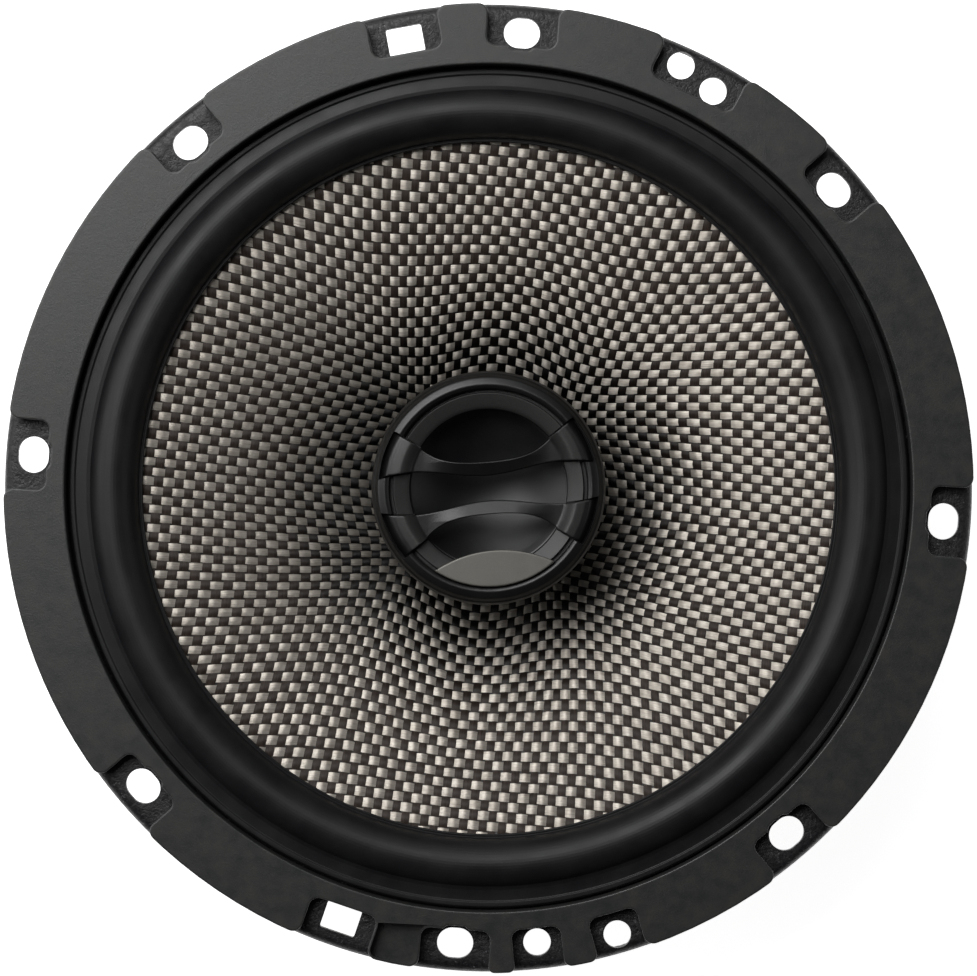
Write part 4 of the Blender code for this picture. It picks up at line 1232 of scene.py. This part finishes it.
def make_grille():
    """The grille's ring, its two bars, and the plain silver plate at its foot."""
    radius, low, _ = reach("tweeter_grille")
    opening, wall = 13.3, radius - 0.85
    outline = [(wall, low, 0.2), (radius, low, 0.3), (radius, 63.1, 0.5), (19.4, 63.9, 0.25)]
    outline += [(19.1, 64.15, 0.15), (18.6, 64.85, 0.8), (17.4, 65.25, 0.7), (16.75, 64.95, 0.3)]
    outline += [(16.65, 63.2, 0.05), (16.15, 63.2, 0.05), (16.05, 64.0, 0.15), (opening, 63.05, 0.3)]
    outline += [(opening, 61.0, 0.2), (15.6, 60.4, 0.2), (15.9, 59.2, 0.2), (wall, 59.2, 0.2)]
    ring = lathe("grille_ring", soften(outline, 0.2, 5), sides=LARGE)
    for turn in (TWEETER_TURN, TWEETER_TURN + 180):
        cut(ring, [bar_pocket(turn, 0.25)])
    dress(ring, "tweeter_plastic", "tweeter_grille")
    make_bar("grille_bar_upper", TWEETER_TURN)
    make_bar("grille_bar_lower", TWEETER_TURN + 180)

    _, low, high = reach("tweeter_badge")
    plate_radius, sweep_radius, crest = 16.6, 20.5, -10.5
    centre = crest - sweep_radius
    y = (plate_radius**2 - sweep_radius**2 + centre**2) / (2 * centre)
    x = math.sqrt(plate_radius**2 - y**2)
    corner = math.degrees(math.atan2(-y, x))
    rise = math.degrees(math.atan2(y - centre, x))
    upper = arc(sweep_radius, 180 - rise, rise, 40, (0.0, centre))
    lower = arc(plate_radius, -corner, corner - 180, 60)[1:-1]
    plate = slab_mesh([upper + lower], low, high, 0.2)
    plate = moved(plate, Matrix.Rotation(math.radians(TWEETER_TURN), 4, "Z"))
    piece("badge_plate", plate, "badge_silver", "tweeter_badge")


# ---------------- floor, light and camera

def make_floor():
    """A plain pale floor under the magnet; its numbers are metres."""
    size = 3.0
    level = CAD_BOX[0].z - 0.0002
    corners = [(-size, -size, level), (size, -size, level), (size, size, level), (-size, size, level)]
    data = bpy.data.meshes.new("floor")
    data.from_pydata(corners, [], [(0, 1, 2, 3)])
    look = Look("floor_paper", (0.86, 0.86, 0.86), 0.7, Emission_Color=(1, 1, 1, 1))
    look.set("Emission Strength", 0.90)
    look.colour(look.greys(look.noise(3.0), 0.85, 0.87))
    data.materials.append(LOOKS["floor_paper"])
    add("floor", data)


def picture_axes():
    """Unit vectors to the right, to the top and out of the picture."""
    turn = math.radians(PICTURE_TURN)
    up = Vector((-math.sin(turn), math.cos(turn), 0))
    return Vector((math.cos(turn), math.sin(turn), 0)), up, Vector((0, 0, 1))


def make_light(name, place, size, power):
    """A soft rectangular lamp, aimed at the speaker. Its numbers are metres and watts.

    Its place is told to the right, to the top and out of the picture.
    """
    right, up, out = picture_axes()
    data = bpy.data.lights.new(name, "AREA")
    data.shape = "RECTANGLE"
    data.size, data.size_y = size
    data.energy = power
    lamp = add(name, data)
    lamp.location = right * place[0] + up * place[1] + out * place[2]
    lamp.rotation_mode = "QUATERNION"
    lamp.rotation_quaternion = (out * LIGHT_AIM - lamp.location).to_track_quat("-Z", "Y")
    lamp.visible_camera = False


def make_lights():
    """A large soft lamp in front and above, and weak ones at three sides, in a dim pale room."""
    make_light("main_light", (-0.31, 0.42, 0.96), (0.66, 0.60), 8.0)
    make_light("top_light", (-0.05, 0.60, 0.42), (0.4, 0.4), 0.5)
    make_light("left_light", (-0.62, 0.10, 0.42), (0.4, 0.4), 1.2)
    make_light("right_light", (0.62, 0.0, 0.42), (0.4, 0.4), 0.3)
    world = bpy.data.worlds.new("room")
    world.use_nodes = True
    nodes, links = world.node_tree.nodes, world.node_tree.links
    background = nodes["Background"]
    seen = nodes.new("ShaderNodeLightPath")
    strength = nodes.new("ShaderNodeMapRange")
    strength.inputs["To Min"].default_value = 0.03
    strength.inputs["To Max"].default_value = 0.92
    links.new(seen.outputs["Is Camera Ray"], strength.inputs["Value"])
    links.new(strength.outputs[0], background.inputs["Strength"])
    background.inputs["Color"].default_value = (1.0, 1.0, 1.0, 1.0)
    bpy.context.scene.world = world


def make_camera():
    """A camera straight in front, which fills the picture's width with the flange."""
    data = bpy.data.cameras.new("camera")
    data.sensor_width = 36.0
    long_side = PICTURE_WIDTH * MM * max(PICTURE_PIXELS) / PICTURE_PIXELS[0]
    data.lens = data.sensor_width * CAMERA_DISTANCE / long_side
    data.clip_start, data.clip_end = 0.01, 10.0
    camera = add("camera", data)
    camera.location = (0, 0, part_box("front_gasket")[1].z + CAMERA_DISTANCE)
    camera.rotation_mode = "QUATERNION"
    camera.rotation_quaternion = Matrix(picture_axes()).transposed().to_quaternion()
    bpy.context.scene.camera = camera


make_camera()
make_basket()
make_gasket()
make_cone()
make_surround()
make_spider()
make_coil("voice_coil", "coil", 12.4, "cone_assembly", 0.32)
make_magnet_system()
make_fixings()
make_terminals()
make_tweeter_body()
make_coil("tweeter_coil", "tweeter", 12.1, "tweeter_dome_assembly", 0.14)
make_diaphragm()
make_grille()
make_floor()
make_lights()

bpy.context.scene.view_settings.view_transform = "Standard"
